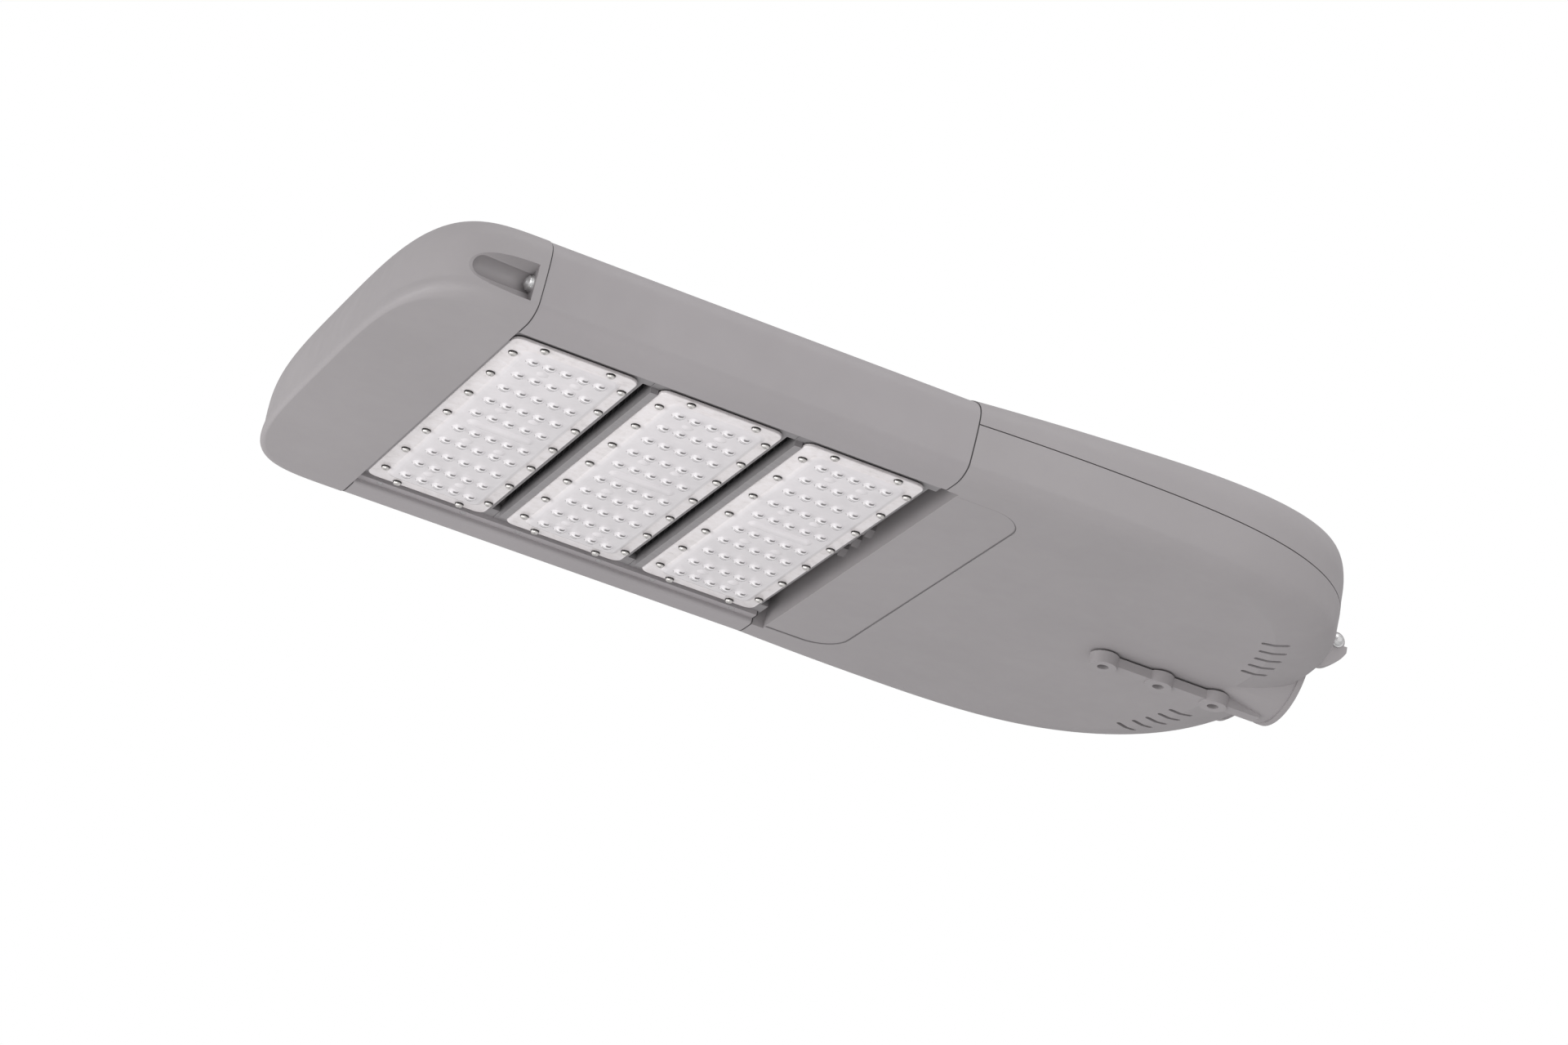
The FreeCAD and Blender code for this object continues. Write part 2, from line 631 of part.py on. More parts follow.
def lens_screws():
    screw = pan_screw(LENS_SCREW_R, LENS_SCREW_LENGTH, LENS_SCREW_HEAD_R, LENS_SCREW_HEAD_H)
    up = Vector(0, 0, 1)
    return [placed(screw, x, y, PLATE_FACE_Z, up) for x, y in screw_places()]


def module_screw_places():
    y = RAIL_LIP_HALF - MODULE_SCREW_INSET
    return [(x + side * MODULE_SCREW_X, j * y) for x in MODULE_X for side in (-1, 1) for j in (-1, 1)]


def module_screws():
    screw = pan_screw(M4_R, SINK_BASE_T + LEDGE_T, M4_HEAD_R, M4_HEAD_H)
    down = Vector(0, 0, -1)
    return [placed(screw, x, y, SINK_TOP_Z, down) for x, y in module_screw_places()]


def module_screw_holes():
    z = LEDGE_Z - LEDGE_T - 1
    length = SINK_BASE_T + LEDGE_T + 2
    up = Vector(0, 0, 1)
    return [rod(x, y, z, M4_R + SCREW_CLEARANCE, length, up) for x, y in module_screw_places()]


def boots():
    """The seal that turns each module's lead along the lamp, with a spigot in the base."""
    length, width, height = BOOT_SIZE
    solids = []
    for x, y in zip(MODULE_X, LEAD_Y):
        body = box(x - length / 2, x + length / 2, y - width / 2, y + width / 2, SINK_TOP_Z, SINK_TOP_Z + height)
        edges = [e for e in body.Edges if e.BoundBox.ZMin > SINK_TOP_Z + height - 0.1 and e.BoundBox.YLength > 1]
        body = body.makeFillet(width * 0.4, edges)
        spigot = rod(x, y, SINK_BASE_Z, width * 0.3, SINK_BASE_T, Vector(0, 0, 1))
        solids.append(fused(body, [spigot]))
    return solids


def boot_holes():
    radius = BOOT_SIZE[1] * 0.3 + SCREW_CLEARANCE
    return [rod(x, y, SINK_BASE_Z, radius, SINK_BASE_T, Vector(0, 0, 1)) for x, y in zip(MODULE_X, LEAD_Y)]


def leads():
    start = BOOT_SIZE[0] / 2
    along = Vector(1, 0, 0)
    return [rod(x + start, y, LEAD_Z, LEAD_R, DRIVER_X - x - start, along) for x, y in zip(MODULE_X, LEAD_Y)]


def wall_glands():
    """A gland for each lead in the front wall of the driver box."""
    solids = []
    along = Vector(1, 0, 0)
    for y in LEAD_Y:
        nut = Part.Face(ring_of(GLAND_R, 0, 6)).extrude(Vector(0, 0, 5))
        nut = placed(nut, FRONT_X - 5, y, LEAD_Z, along)
        cap = placed(Part.makeCone(GLAND_R * 0.6, GLAND_R * 0.82, 5), FRONT_X - 10, y, LEAD_Z, along)
        stem = rod(FRONT_X, y, LEAD_Z, GLAND_R * 0.72, WALL + 2, along)
        body = fused(nut, [cap, stem])
        solids.append(body.cut(rod(FRONT_X - 11, y, LEAD_Z, LEAD_R + 0.05, 30, along)))
    return solids


# Driver housing

def tail_x(y):
    """Where the tail's outline is at a distance from the middle plane."""
    share = min(1.0, abs(y) / BOX_B)
    return SWELL_X + TAIL_A * (1 - share ** TAIL_POWER) ** (1 / TAIL_POWER)


def chamfer_x(y):
    """Where the flat underside ends and the chamfer starts."""
    share = abs(y) / (BOX_B - side_inset(BOTTOM_Z))
    return SWELL_X + (TAIL_A - TAIL_CHAMFER) * (1 - share ** TAIL_POWER) ** (1 / TAIL_POWER)


def vent_slots():
    slots = []
    for i in range(VENTS):
        y = VENT_FIRST_Y + i * VENT_PITCH
        x = chamfer_x(y) - VENT_LENGTH / 2
        slot = box(0, VENT_LENGTH, -VENT_WIDTH / 2, VENT_WIDTH / 2, BOTTOM_Z - 3, BOTTOM_Z + 12)
        ends = [e for e in slot.Edges if abs(e.Vertexes[0].Z - e.Vertexes[-1].Z) > 1]
        slot = slot.makeFillet(VENT_WIDTH * 0.49, ends)
        slot.rotate(Vector(0, 0, 0), Vector(0, 0, 1), VENT_FIRST_TURN + i * VENT_TURN)
        slot.translate(Vector(x, y, 0))
        slots += both_sides(slot)
    return slots


def ring_between(outer_inset, inner_inset, z0, z1):
    """A band that follows the box outline at the seam."""
    outer = Part.Face(closed_slice(box_slice(0.0, outer_inset)))
    inner = Part.Face(closed_slice(box_slice(0.0, inner_inset)))
    band = outer.cut(inner)
    band.translate(Vector(0, 0, z0))
    return band.extrude(Vector(0, 0, z1 - z0))


def seal_ring():
    """The seal in the seam, and its groove: it ends against the socket's tube at both sides."""
    groove_from = WALL + 1.5
    ring = ring_between(groove_from, groove_from + GASKET_WIDTH, -GASKET_T, SEAM_GAP)
    return ring.cut(rod(-SOCKET_DEPTH, 0, 0, SOCKET_R, SOCKET_DEPTH, Vector(1, 0, 0)))


def ear(ring_z, y0, thickness):
    """A tail ear of the housing: a curved tongue with a ring for the screw."""
    tongue = [(EAR_ROOT_X, -2.0), (EAR_SCREW_X, -2.0), (EAR_REACH, -1.6), (EAR_REACH, -6.0)]
    curve = Part.BSplineCurve()
    low = [(EAR_REACH, -6.0), (7.6, -10.6), (-0.5, -18.2), (-5.3, -20.7), (-9.7, -EAR_DROP), (EAR_ROOT_X, -EAR_DROP)]
    curve.interpolate([Vector(x, 0, z) for x, z in low])
    top = Part.makePolygon([Vector(x, 0, z) for x, z in tongue])
    back = Part.makeLine(Vector(low[-1][0], 0, low[-1][1]), Vector(tongue[0][0], 0, tongue[0][1]))
    face = Part.Face(Part.Wire(Part.__sortEdges__(top.Edges + [curve.toShape(), back])))
    plate = face.extrude(Vector(0, thickness, 0))
    ring = rod(EAR_SCREW_X, 0, ring_z, EAR_RING_R, thickness, Vector(0, 1, 0))
    body = plate.fuse(ring)
    body.translate(Vector(0, y0, 0))
    return body


def under_socket():
    """The tube is flattened to the underside, and comes out of it on a slope from the first boss on."""
    low = -SOCKET_R - 1
    line = [(-SOCKET_DEPTH - 2 * SOCKET_END_T, low), (-SOCKET_DEPTH - 2 * SOCKET_END_T, BOTTOM_Z),
            (BOSS_FIRST_X, BOTTOM_Z), (RIB_END_X, -SOCKET_R), (RIB_END_X, low)]
    points = [Vector(x, -SOCKET_R, z) for x, z in line]
    return Part.Face(Part.makePolygon(points + [points[0]])).extrude(Vector(0, 2 * SOCKET_R, 0))


def driver_housing():
    outer = skinned([box_slice(z) for z in LOWER_LEVELS])
    cavity = skinned([box_slice(z, WALL, inner_shift(z)) for z in INNER_LEVELS])
    front_inside = FRONT_X + WALL
    half = FRONT_SETBACK_HALF
    cavity = cavity.cut(box(BOX_X, front_inside, -half - WALL, half + WALL, BOTTOM_Z, 1))
    cavity = cavity.cut(box(BOX_X, BOX_X + 2 * WALL, -HALF_WIDTH * 1.1, HALF_WIDTH * 1.1, BOTTOM_Z, 1))
    cavity = cavity.cut(box(-TAIL_BLOCK_LENGTH, 0, -TAIL_BLOCK_HALF, TAIL_BLOCK_HALF, BOTTOM_Z, 1))
    body = outer.cut(cavity)
    setback = box(BOX_X - 1, FRONT_X, -half, half, BOTTOM_Z - 1, -FRONT_BAR)
    body = body.cut(setback)
    flange = ring_between(WALL - 0.5, WALL + SEAM_FLANGE, -SEAM_FLANGE_T, 0.0)
    along = Vector(1, 0, 0)
    tube = rod(-SOCKET_DEPTH - SOCKET_END_T, 0, 0, SOCKET_R, SOCKET_DEPTH + SOCKET_END_T, along)
    tube = tube.cut(under_socket())
    rim = rod(-SOCKET_RIM_LENGTH, 0, 0, SOCKET_RIM_R, SOCKET_RIM_LENGTH, along)
    adds = [flange, tube, rim]
    last = BOSS_FIRST_X - (BOSS_COUNT - 1) * BOSS_PITCH
    adds.append(box(last, RIB_END_X, -RIB_HALF, RIB_HALF, RIB_Z, -SOCKET_R + 4))
    down = Vector(0, 0, -1)
    boss_top = -SOCKET_BORE_R - 3
    for i in range(BOSS_COUNT):
        x = BOSS_FIRST_X - i * BOSS_PITCH
        adds.append(Part.makeCone(BOSS_BASE_R, BOSS_R, boss_top - BOSS_END_Z, Vector(x, 0, boss_top), down))
    up = Vector(0, 0, 1)
    for x in POST_X:
        for side in (-1, 1):
            adds.append(rod(x, side * POST_Y, FLOOR_Z - 0.5, POST_R, TRAY_Z - FLOOR_Z + 0.5, up))
    adds += both_sides(ear(0.3, -EAR_Y, EAR_T))
    body = body.fuse(adds)
    cuts = [rod(-SOCKET_DEPTH, 0, 0, SOCKET_BORE_R, SOCKET_DEPTH + 1, along)]
    cuts.append(rod(-SOCKET_DEPTH - SOCKET_END_T - 1, 0, 0, GROMMET_R, SOCKET_END_T + 2, along))
    cuts.append(rod(-SOCKET_DEPTH - GROMMET_LIP_T, 0, 0, GROMMET_R + GROMMET_LIP + FIT, GROMMET_LIP_T + 1, along))
    for i in range(BOSS_COUNT):
        x = BOSS_FIRST_X - i * BOSS_PITCH
        cuts.append(rod(x, 0, BOSS_END_Z - 1, BOSS_HOLE_R, -SOCKET_BORE_R - BOSS_END_Z + 3, up))
    cuts += vent_slots()
    pad = rounded_plate(2 * PAD_LENGTH, 2 * PAD_HALF, PAD_CORNER_R, BOTTOM_Z - 1, BOTTOM_Z + PAD_DEPTH, FRONT_X)
    cuts.append(pad)
    for x in POST_X:
        for side in (-1, 1):
            cuts.append(rod(x, side * POST_Y, FLOOR_Z + 0.5, M4_R - 0.3, TRAY_Z - FLOOR_Z, up))
    for y, z in PORTS:
        for side in (-1, 1):
            cuts.append(rod(BOX_X - 1, side * y, z, M5_R + FIT, 2 * WALL + 2, along))
    for y in LEAD_Y:
        cuts.append(rod(FRONT_X - 1, y, LEAD_Z, GLAND_R * 0.72 + 0.1, WALL + 2, along))
    cuts.append(seal_ring())
    for side in (-1, 1):
        y = side * EAR_Y - EAR_T
        cuts.append(rod(EAR_SCREW_X, y, 0.3, EAR_SCREW_R + FIT, 2 * EAR_T, Vector(0, 1, 0)))
    return body.cut(cuts).removeSplitter()


def cover_gasket():
    return seal_ring()


def driver_cover():
    outer = skinned([box_slice(z, 0.0, 0.0, True) for z in [SEAM_GAP] + UPPER_LEVELS[1:]])
    inner = [box_slice(SEAM_GAP, WALL, 0.0, True)]
    inner += [box_slice(z - WALL, WALL, WALL, True) for z in UPPER_LEVELS[1:]]
    cavity = skinned(inner)
    body = outer.cut(cavity)
    flange = ring_between(WALL - 0.5, WALL + SEAM_FLANGE, SEAM_GAP, SEAM_GAP + SEAM_FLANGE_T)
    body = body.fuse(flange)
    along = Vector(1, 0, 0)
    arch = rod(-SOCKET_DEPTH - SOCKET_END_T - 1, 0, 0, SOCKET_RIM_R + COVER_ARCH_GAP, SOCKET_DEPTH + 20, along)
    body = body.cut(arch)
    ears = []
    for side in (-1, 1):
        inner_y = EAR_Y - EAR_T - FIT
        y0 = -inner_y if side < 0 else inner_y - EAR_T
        disc = rod(EAR_SCREW_X, y0, 0.3, EAR_RING_R, EAR_T, Vector(0, 1, 0))
        web = box(tail_x(inner_y) - WALL, EAR_SCREW_X, y0, y0 + EAR_T, SEAM_GAP, EAR_RING_R)
        ears.append(disc.fuse(web))
    body = body.fuse(ears)
    holes = []
    for side in (-1, 1):
        holes.append(rod(EAR_SCREW_X, side * EAR_Y - 2 * EAR_T, 0.3, EAR_SCREW_R + 0.1, 4 * EAR_T, Vector(0, 1, 0)))
    return body.cut(holes).removeSplitter()


def ear_fasteners():
    screw = pan_screw(EAR_SCREW_R, EAR_SCREW_LENGTH, M4_HEAD_R, M4_HEAD_H)
    ring = washer(M4_HEAD_R + 1.0, EAR_SCREW_R + SCREW_CLEARANCE)
    screws = []
    rings = []
    for side in (-1, 1):
        inwards = Vector(0, -side, 0)
        seat = side * (EAR_Y + WASHER_T)
        screws.append(placed(screw, EAR_SCREW_X, seat, 0.3, inwards))
        rings.append(placed(ring, EAR_SCREW_X, seat, 0.3, inwards))
    return screws, rings


def housing_screws():
    screw = pan_screw(M5_R, 2 * WALL + 14, M5_HEAD_R, M5_HEAD_H)
    back = Vector(-1, 0, 0)
    return [placed(screw, BOX_X + 2 * WALL, side * y, z, back) for y, z in PORTS for side in (-1, 1)]


# Gear inside the driver box

def gear_tray():
    tray = box(TRAY_X[0], TRAY_X[1], -TRAY_HALF, TRAY_HALF, TRAY_Z, TRAY_TOP)
    up = Vector(0, 0, 1)
    holes = [rod(x, side * POST_Y, TRAY_Z - 1, M4_R + FIT, TRAY_T + 2, up) for x in POST_X for side in (-1, 1)]
    return tray.cut(holes)


def tray_screws():
    screw = pan_screw(M4_R - 0.4, TRAY_SCREW_LENGTH, M4_HEAD_R, M4_HEAD_H)
    return [placed(screw, x, side * POST_Y, TRAY_TOP, Vector(0, 0, -1)) for x in POST_X for side in (-1, 1)]


def led_driver():
    length, width, height = DRIVER_SIZE
    body = box(DRIVER_X, DRIVER_X + length, -width / 2, width / 2, TRAY_TOP, TRAY_TOP + height)
    top = [e for e in body.Edges if e.BoundBox.ZMin > TRAY_TOP + height - 0.1]
    body = body.makeFillet(3.0, top)
    feet = [box(DRIVER_X + 14, DRIVER_X + length - 14, side * (width / 2 + 6) - 6, side * (width / 2 + 6) + 6,
                TRAY_TOP, TRAY_TOP + 3) for side in (-1, 1)]
    body = fused(body, feet)
    holes = [rod(x, side * (width / 2 + 7), TRAY_TOP - 1, M4_R + FIT, 6, Vector(0, 0, 1))
             for x in (DRIVER_X + 22, DRIVER_X + length - 22) for side in (-1, 1)]
    return body.cut(holes)


def driver_screws():
    length, width, height = DRIVER_SIZE
    screw = pan_screw(M4_R, 3.0, M4_HEAD_R, M4_HEAD_H)
    return [placed(screw, x, side * (width / 2 + 7), TRAY_TOP + 3, Vector(0, 0, -1))
            for x in (DRIVER_X + 22, DRIVER_X + length - 22) for side in (-1, 1)]


def surge_protector():
    length, width, height = SURGE_SIZE
    x = DRIVER_X + DRIVER_SIZE[0] + 8
    y = 70.0
    body = box(x, x + width, y, y + length, TRAY_TOP, TRAY_TOP + height)
    upright = [e for e in body.Edges if e.BoundBox.ZLength > 1]
    return body.makeFillet(4.0, upright)


def terminal_block():
    length, width, height = TERMINAL_SIZE
    x = DRIVER_X + DRIVER_SIZE[0] + 10
    y = -70.0
    body = box(x, x + length, y - width, y, TRAY_TOP, TRAY_TOP + height)
    step = box(x - 1, x + 6, y - width - 1, y + 1, TRAY_TOP + height * 0.55, TRAY_TOP + height + 1)
    poles = []
    for i in range(3):
        pole_y = y - width * (i + 0.5) / 3
        poles.append(rod(x + length / 2 + 3, pole_y, TRAY_TOP + 4, 3.0, height, Vector(0, 0, 1)))
    return body.cut([step] + poles)


def cable_grommet():
    """The seal for the mains cable, flush with the socket's end on the pole's side."""
    x = -SOCKET_DEPTH - SOCKET_END_T
    along = Vector(1, 0, 0)
    stem = rod(x, 0, 0, GROMMET_R - 0.1, SOCKET_END_T, along)
    lip = rod(x - GROMMET_LIP_T, 0, 0, GROMMET_R + GROMMET_LIP, GROMMET_LIP_T, along)
    lips = [lip, moved(lip, SOCKET_END_T)]
    return fused(stem, lips).cut(rod(x - GROMMET_LIP_T - 1, 0, 0, CABLE_R, SOCKET_END_T + GROMMET_LIP_T + 2, along))


# All nodes

def moved(shape, x):
    copy = shape.copy()
    copy.translate(Vector(x, 0, 0))
    return copy


nodes = {}
nodes["nose_cap"] = [nose_cap()]
nodes["nose_screws"], nodes["nose_washers"] = nose_fasteners()
right_rail = rail().cut(module_screw_holes())
left_rail, right_rail = both_sides(right_rail)[::-1]
nodes["rail_left"] = [left_rail]
nodes["rail_right"] = [right_rail]
plate = lens_plate()
seal = lens_gasket()
board = led_board()
sink = heat_sink()
base_holes = module_screw_holes() + boot_holes()
fixings = lens_screws()
for k, x in enumerate(MODULE_X):
    number = str(k + 1)
    nodes["lens_plate_" + number] = [moved(plate, x)]
    nodes["lens_gasket_" + number] = [moved(seal, x)]
    nodes["led_board_" + number] = [moved(board, x)]
    nodes["heat_sink_" + number] = [moved(sink, x).cut(base_holes)]
    nodes["lens_screws_" + number] = [moved(s, x) for s in fixings]
nodes["module_screws"] = module_screws()
nodes["lead_boots"] = boots()
nodes["module_leads"] = leads()
nodes["wall_glands"] = wall_glands()
nodes["driver_housing"] = [driver_housing()]
nodes["cover_gasket"] = [cover_gasket()]
nodes["driver_cover"] = [driver_cover()]
nodes["cover_screws"], nodes["cover_washers"] = ear_fasteners()
nodes["housing_screws"] = housing_screws()
nodes["gear_tray"] = [gear_tray()]
nodes["tray_screws"] = tray_screws()
nodes["led_driver"] = [led_driver()]
nodes["driver_screws"] = driver_screws()
nodes["surge_protector"] = [surge_protector()]
nodes["terminal_block"] = [terminal_block()]
nodes["cable_grommet"] = [cable_grommet()]

for name, shapes in nodes.items():
    solids = [solid for shape in shapes for solid in shape.Solids]
    whole = solids[0] if len(solids) == 1 else Part.makeCompound(solids)
    whole.exportStep("parts/" + name + ".step")
    print(name, "solids", len(solids), "valid", all(s.isValid() for s in solids), "cm3", round(whole.Volume / 1000, 2))
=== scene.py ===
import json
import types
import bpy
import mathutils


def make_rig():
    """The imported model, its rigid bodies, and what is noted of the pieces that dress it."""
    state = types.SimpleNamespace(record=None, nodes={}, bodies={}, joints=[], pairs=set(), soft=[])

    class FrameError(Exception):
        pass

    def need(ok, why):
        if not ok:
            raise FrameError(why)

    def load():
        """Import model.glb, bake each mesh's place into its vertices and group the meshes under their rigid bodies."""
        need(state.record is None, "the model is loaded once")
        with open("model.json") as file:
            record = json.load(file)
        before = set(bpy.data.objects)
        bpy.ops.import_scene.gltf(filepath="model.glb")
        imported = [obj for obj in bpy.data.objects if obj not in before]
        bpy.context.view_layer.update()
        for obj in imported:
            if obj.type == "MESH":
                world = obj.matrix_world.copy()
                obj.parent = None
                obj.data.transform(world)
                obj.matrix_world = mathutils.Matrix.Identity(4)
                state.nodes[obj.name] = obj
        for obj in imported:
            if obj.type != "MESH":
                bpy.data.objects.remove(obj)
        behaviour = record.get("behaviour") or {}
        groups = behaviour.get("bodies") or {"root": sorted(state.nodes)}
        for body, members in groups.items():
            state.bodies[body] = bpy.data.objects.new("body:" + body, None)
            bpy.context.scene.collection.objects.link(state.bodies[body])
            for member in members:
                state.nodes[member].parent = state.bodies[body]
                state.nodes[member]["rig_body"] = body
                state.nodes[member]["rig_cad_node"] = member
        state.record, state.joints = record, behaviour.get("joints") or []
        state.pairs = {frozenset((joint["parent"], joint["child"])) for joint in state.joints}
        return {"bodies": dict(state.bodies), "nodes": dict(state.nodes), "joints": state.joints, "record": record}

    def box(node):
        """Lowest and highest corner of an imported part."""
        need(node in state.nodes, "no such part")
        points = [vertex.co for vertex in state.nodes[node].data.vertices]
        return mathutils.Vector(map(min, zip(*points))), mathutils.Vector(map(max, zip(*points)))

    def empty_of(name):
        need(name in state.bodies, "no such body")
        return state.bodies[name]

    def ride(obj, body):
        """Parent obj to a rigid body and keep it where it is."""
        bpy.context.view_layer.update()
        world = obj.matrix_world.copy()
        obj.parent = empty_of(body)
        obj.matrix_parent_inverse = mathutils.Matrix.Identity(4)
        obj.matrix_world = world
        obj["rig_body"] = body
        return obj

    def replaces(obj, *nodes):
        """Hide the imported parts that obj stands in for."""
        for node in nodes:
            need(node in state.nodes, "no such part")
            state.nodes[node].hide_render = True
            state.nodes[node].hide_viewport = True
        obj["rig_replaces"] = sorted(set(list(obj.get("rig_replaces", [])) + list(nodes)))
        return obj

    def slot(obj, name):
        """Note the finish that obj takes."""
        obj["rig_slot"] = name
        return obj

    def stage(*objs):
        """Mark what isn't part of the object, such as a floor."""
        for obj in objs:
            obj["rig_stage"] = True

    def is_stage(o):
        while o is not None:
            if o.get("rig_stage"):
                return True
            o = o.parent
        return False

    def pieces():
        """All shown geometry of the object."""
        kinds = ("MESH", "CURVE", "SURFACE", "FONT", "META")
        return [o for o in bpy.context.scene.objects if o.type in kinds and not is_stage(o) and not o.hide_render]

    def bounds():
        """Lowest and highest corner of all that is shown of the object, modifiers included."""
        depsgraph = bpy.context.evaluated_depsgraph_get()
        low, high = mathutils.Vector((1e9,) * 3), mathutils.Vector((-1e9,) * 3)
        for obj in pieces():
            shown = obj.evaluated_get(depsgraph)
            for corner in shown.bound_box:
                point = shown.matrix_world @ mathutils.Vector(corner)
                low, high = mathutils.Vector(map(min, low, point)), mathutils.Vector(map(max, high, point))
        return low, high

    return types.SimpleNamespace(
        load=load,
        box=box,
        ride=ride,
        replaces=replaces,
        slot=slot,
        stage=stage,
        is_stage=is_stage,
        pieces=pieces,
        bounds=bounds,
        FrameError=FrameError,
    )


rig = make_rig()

bl_info = {
    "name": "Street light head",
    "version": (1, 0, 0),
    "blender": (4, 5, 0),
    "location": "3D View > Sidebar > Street light",
    "description": "Castings, rails, lens plates, screws and stage of an LED street light head",
    "category": "Object",
}

import json
import math

import bmesh
import bpy
from mathutils import Matrix, Vector

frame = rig.load()
CAD_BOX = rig.bounds()

MM = 0.001
BODY = "root"
MODULES = ("1", "2", "3")
MERGE, FINE_MERGE = 0.004 * MM, 0.002 * MM
PLATE_BACK, PLATE_FACE, PLATE_FIELD = -28.5 * MM, -31.0 * MM, -32.2 * MM
SIZE_FILE = "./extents.json"


# Sizes and colours

class LampSizes(bpy.types.PropertyGroup):
    """Sizes of the lamp's fine pieces."""

    lens_radius: bpy.props.FloatProperty(
        name="Lens radius", description="Foot of each dome on the lens plates",
        default=4.6 * MM, unit="LENGTH")
    lens_height: bpy.props.FloatProperty(
        name="Lens height", description="Height of each dome over its plate",
        default=2.3 * MM, unit="LENGTH")
    plate_edge: bpy.props.FloatProperty(
        name="Plate edge", description="Rounding of the lens plates' edges",
        default=0.7 * MM, unit="LENGTH")
    screw_head_radius: bpy.props.FloatProperty(
        name="Screw head radius", description="Pan heads round the lens plates",
        default=3.0 * MM, unit="LENGTH")
    recess_depth: bpy.props.FloatProperty(
        name="Recess depth", description="Cross recess in the screw heads",
        default=1.3 * MM, unit="LENGTH")
    sharp_angle: bpy.props.FloatProperty(
        name="Sharp angle", description="Edges sharper than this stay crisp on the castings",
        default=math.radians(32), subtype="ANGLE")


class LampColours(bpy.types.PropertyGroup):
    """Colours of the lamp's finishes."""

    casting: bpy.props.FloatVectorProperty(
        name="Casting", description="Powder coat on the castings",
        default=(0.336, 0.317, 0.323), subtype="COLOR", min=0.0, max=1.0)
    rail: bpy.props.FloatVectorProperty(
        name="Rail", description="Powder coat on the side rails",
        default=(0.340, 0.320, 0.328), subtype="COLOR", min=0.0, max=1.0)
    sink: bpy.props.FloatVectorProperty(
        name="Heat sink", description="Anodised heat sinks",
        default=(0.29, 0.278, 0.284), subtype="COLOR", min=0.0, max=1.0)
    plate: bpy.props.FloatVectorProperty(
        name="Lens plate", description="Moulded lens plates over their white boards",
        default=(0.77, 0.742, 0.757), subtype="COLOR", min=0.0, max=1.0)
    steel: bpy.props.FloatVectorProperty(
        name="Steel", description="Bright screws and washers",
        default=(0.72, 0.70, 0.68), subtype="COLOR", min=0.0, max=1.0)
    rubber: bpy.props.FloatVectorProperty(
        name="Rubber", description="Seals, boots and leads",
        default=(0.016, 0.016, 0.017), subtype="COLOR", min=0.0, max=1.0)
    floor: bpy.props.FloatVectorProperty(
        name="Floor", description="Studio floor",
        default=(0.86, 0.86, 0.86), subtype="COLOR", min=0.0, max=1.0)


# Materials

def new_material(name, colour, roughness, metallic=0.0):
    """A material with its principled shader and an object coordinate to hang patterns on."""
    material = bpy.data.materials.new(name)
    material.use_nodes = True
    nodes = material.node_tree.nodes
    shader = nodes["Principled BSDF"]
    shader.inputs["Base Color"].default_value = (*colour, 1.0)
    shader.inputs["Roughness"].default_value = roughness
    shader.inputs["Metallic"].default_value = metallic
    coordinate = nodes.new("ShaderNodeTexCoord")
    return material, shader, coordinate.outputs["Object"]


def noise(material, vector, scale, detail=4.0, roughness=0.55):
    """A noise pattern over the vector."""
    node = material.node_tree.nodes.new("ShaderNodeTexNoise")
    node.inputs["Scale"].default_value = scale
    node.inputs["Detail"].default_value = detail
    node.inputs["Roughness"].default_value = roughness
    material.node_tree.links.new(vector, node.inputs["Vector"])
    return node.outputs["Fac"]


def ramp(material, value, stops):
    """A colour ramp over a value, with stops of (position, colour)."""
    node = material.node_tree.nodes.new("ShaderNodeValToRGB")
    elements = node.color_ramp.elements
    while len(elements) < len(stops):
        elements.new(0.5)
    for element, (position, colour) in zip(elements, stops):
        element.position = position
        element.color = (*colour, 1.0)
    material.node_tree.links.new(value, node.inputs["Fac"])
    return node.outputs["Color"]


def spread(material, value, low, high):
    """Stretches a pattern's values to a range."""
    node = material.node_tree.nodes.new("ShaderNodeMapRange")
    node.inputs["From Min"].default_value = 0.3
    node.inputs["From Max"].default_value = 0.7
    node.inputs["To Min"].default_value = low
    node.inputs["To Max"].default_value = high
    material.node_tree.links.new(value, node.inputs["Value"])
    return node.outputs["Result"]


def add_bump(material, shader, value, strength, distance):
    """Bump from a pattern's values, with its distance in metres."""
    node = material.node_tree.nodes.new("ShaderNodeBump")
    node.inputs["Strength"].default_value = strength
    node.inputs["Distance"].default_value = distance
    material.node_tree.links.new(value, node.inputs["Height"])
    material.node_tree.links.new(node.outputs["Normal"], shader.inputs["Normal"])


def tinted(colour, factor):
    """The colour made lighter or darker by a factor."""
    return tuple(min(1.0, channel * factor) for channel in colour)


def powder_coat(name, colour):
    """Satin powder coat: faint clouds of tone, and the fine orange peel of the sprayed skin."""
    material, shader, place = new_material(name, colour, 0.56)
    links = material.node_tree.links
    clouds = noise(material, place, 9.0, 5.0)
    links.new(ramp(material, clouds, [(0.3, tinted(colour, 0.965)), (0.7, tinted(colour, 1.035))]),
              shader.inputs["Base Color"])
    links.new(spread(material, noise(material, place, 60.0), 0.50, 0.62), shader.inputs["Roughness"])
    add_bump(material, shader, noise(material, place, 1500.0, 3.0), 0.16, 0.00012)
    return material


def bright_steel(colour):
    """Bright plated steel with a fine uneven polish."""
    material, shader, place = new_material("bright_steel", colour, 0.2, 1.0)
    material.node_tree.links.new(spread(material, noise(material, place, 900.0), 0.14, 0.3),
                                 shader.inputs["Roughness"])
    add_bump(material, shader, noise(material, place, 2600.0), 0.1, 0.00004)
    return material


def level_of(material, place):
    """The height of each point."""
    split = material.node_tree.nodes.new("ShaderNodeSeparateXYZ")
    material.node_tree.links.new(place, split.inputs["Vector"])
    return split.outputs["Z"]


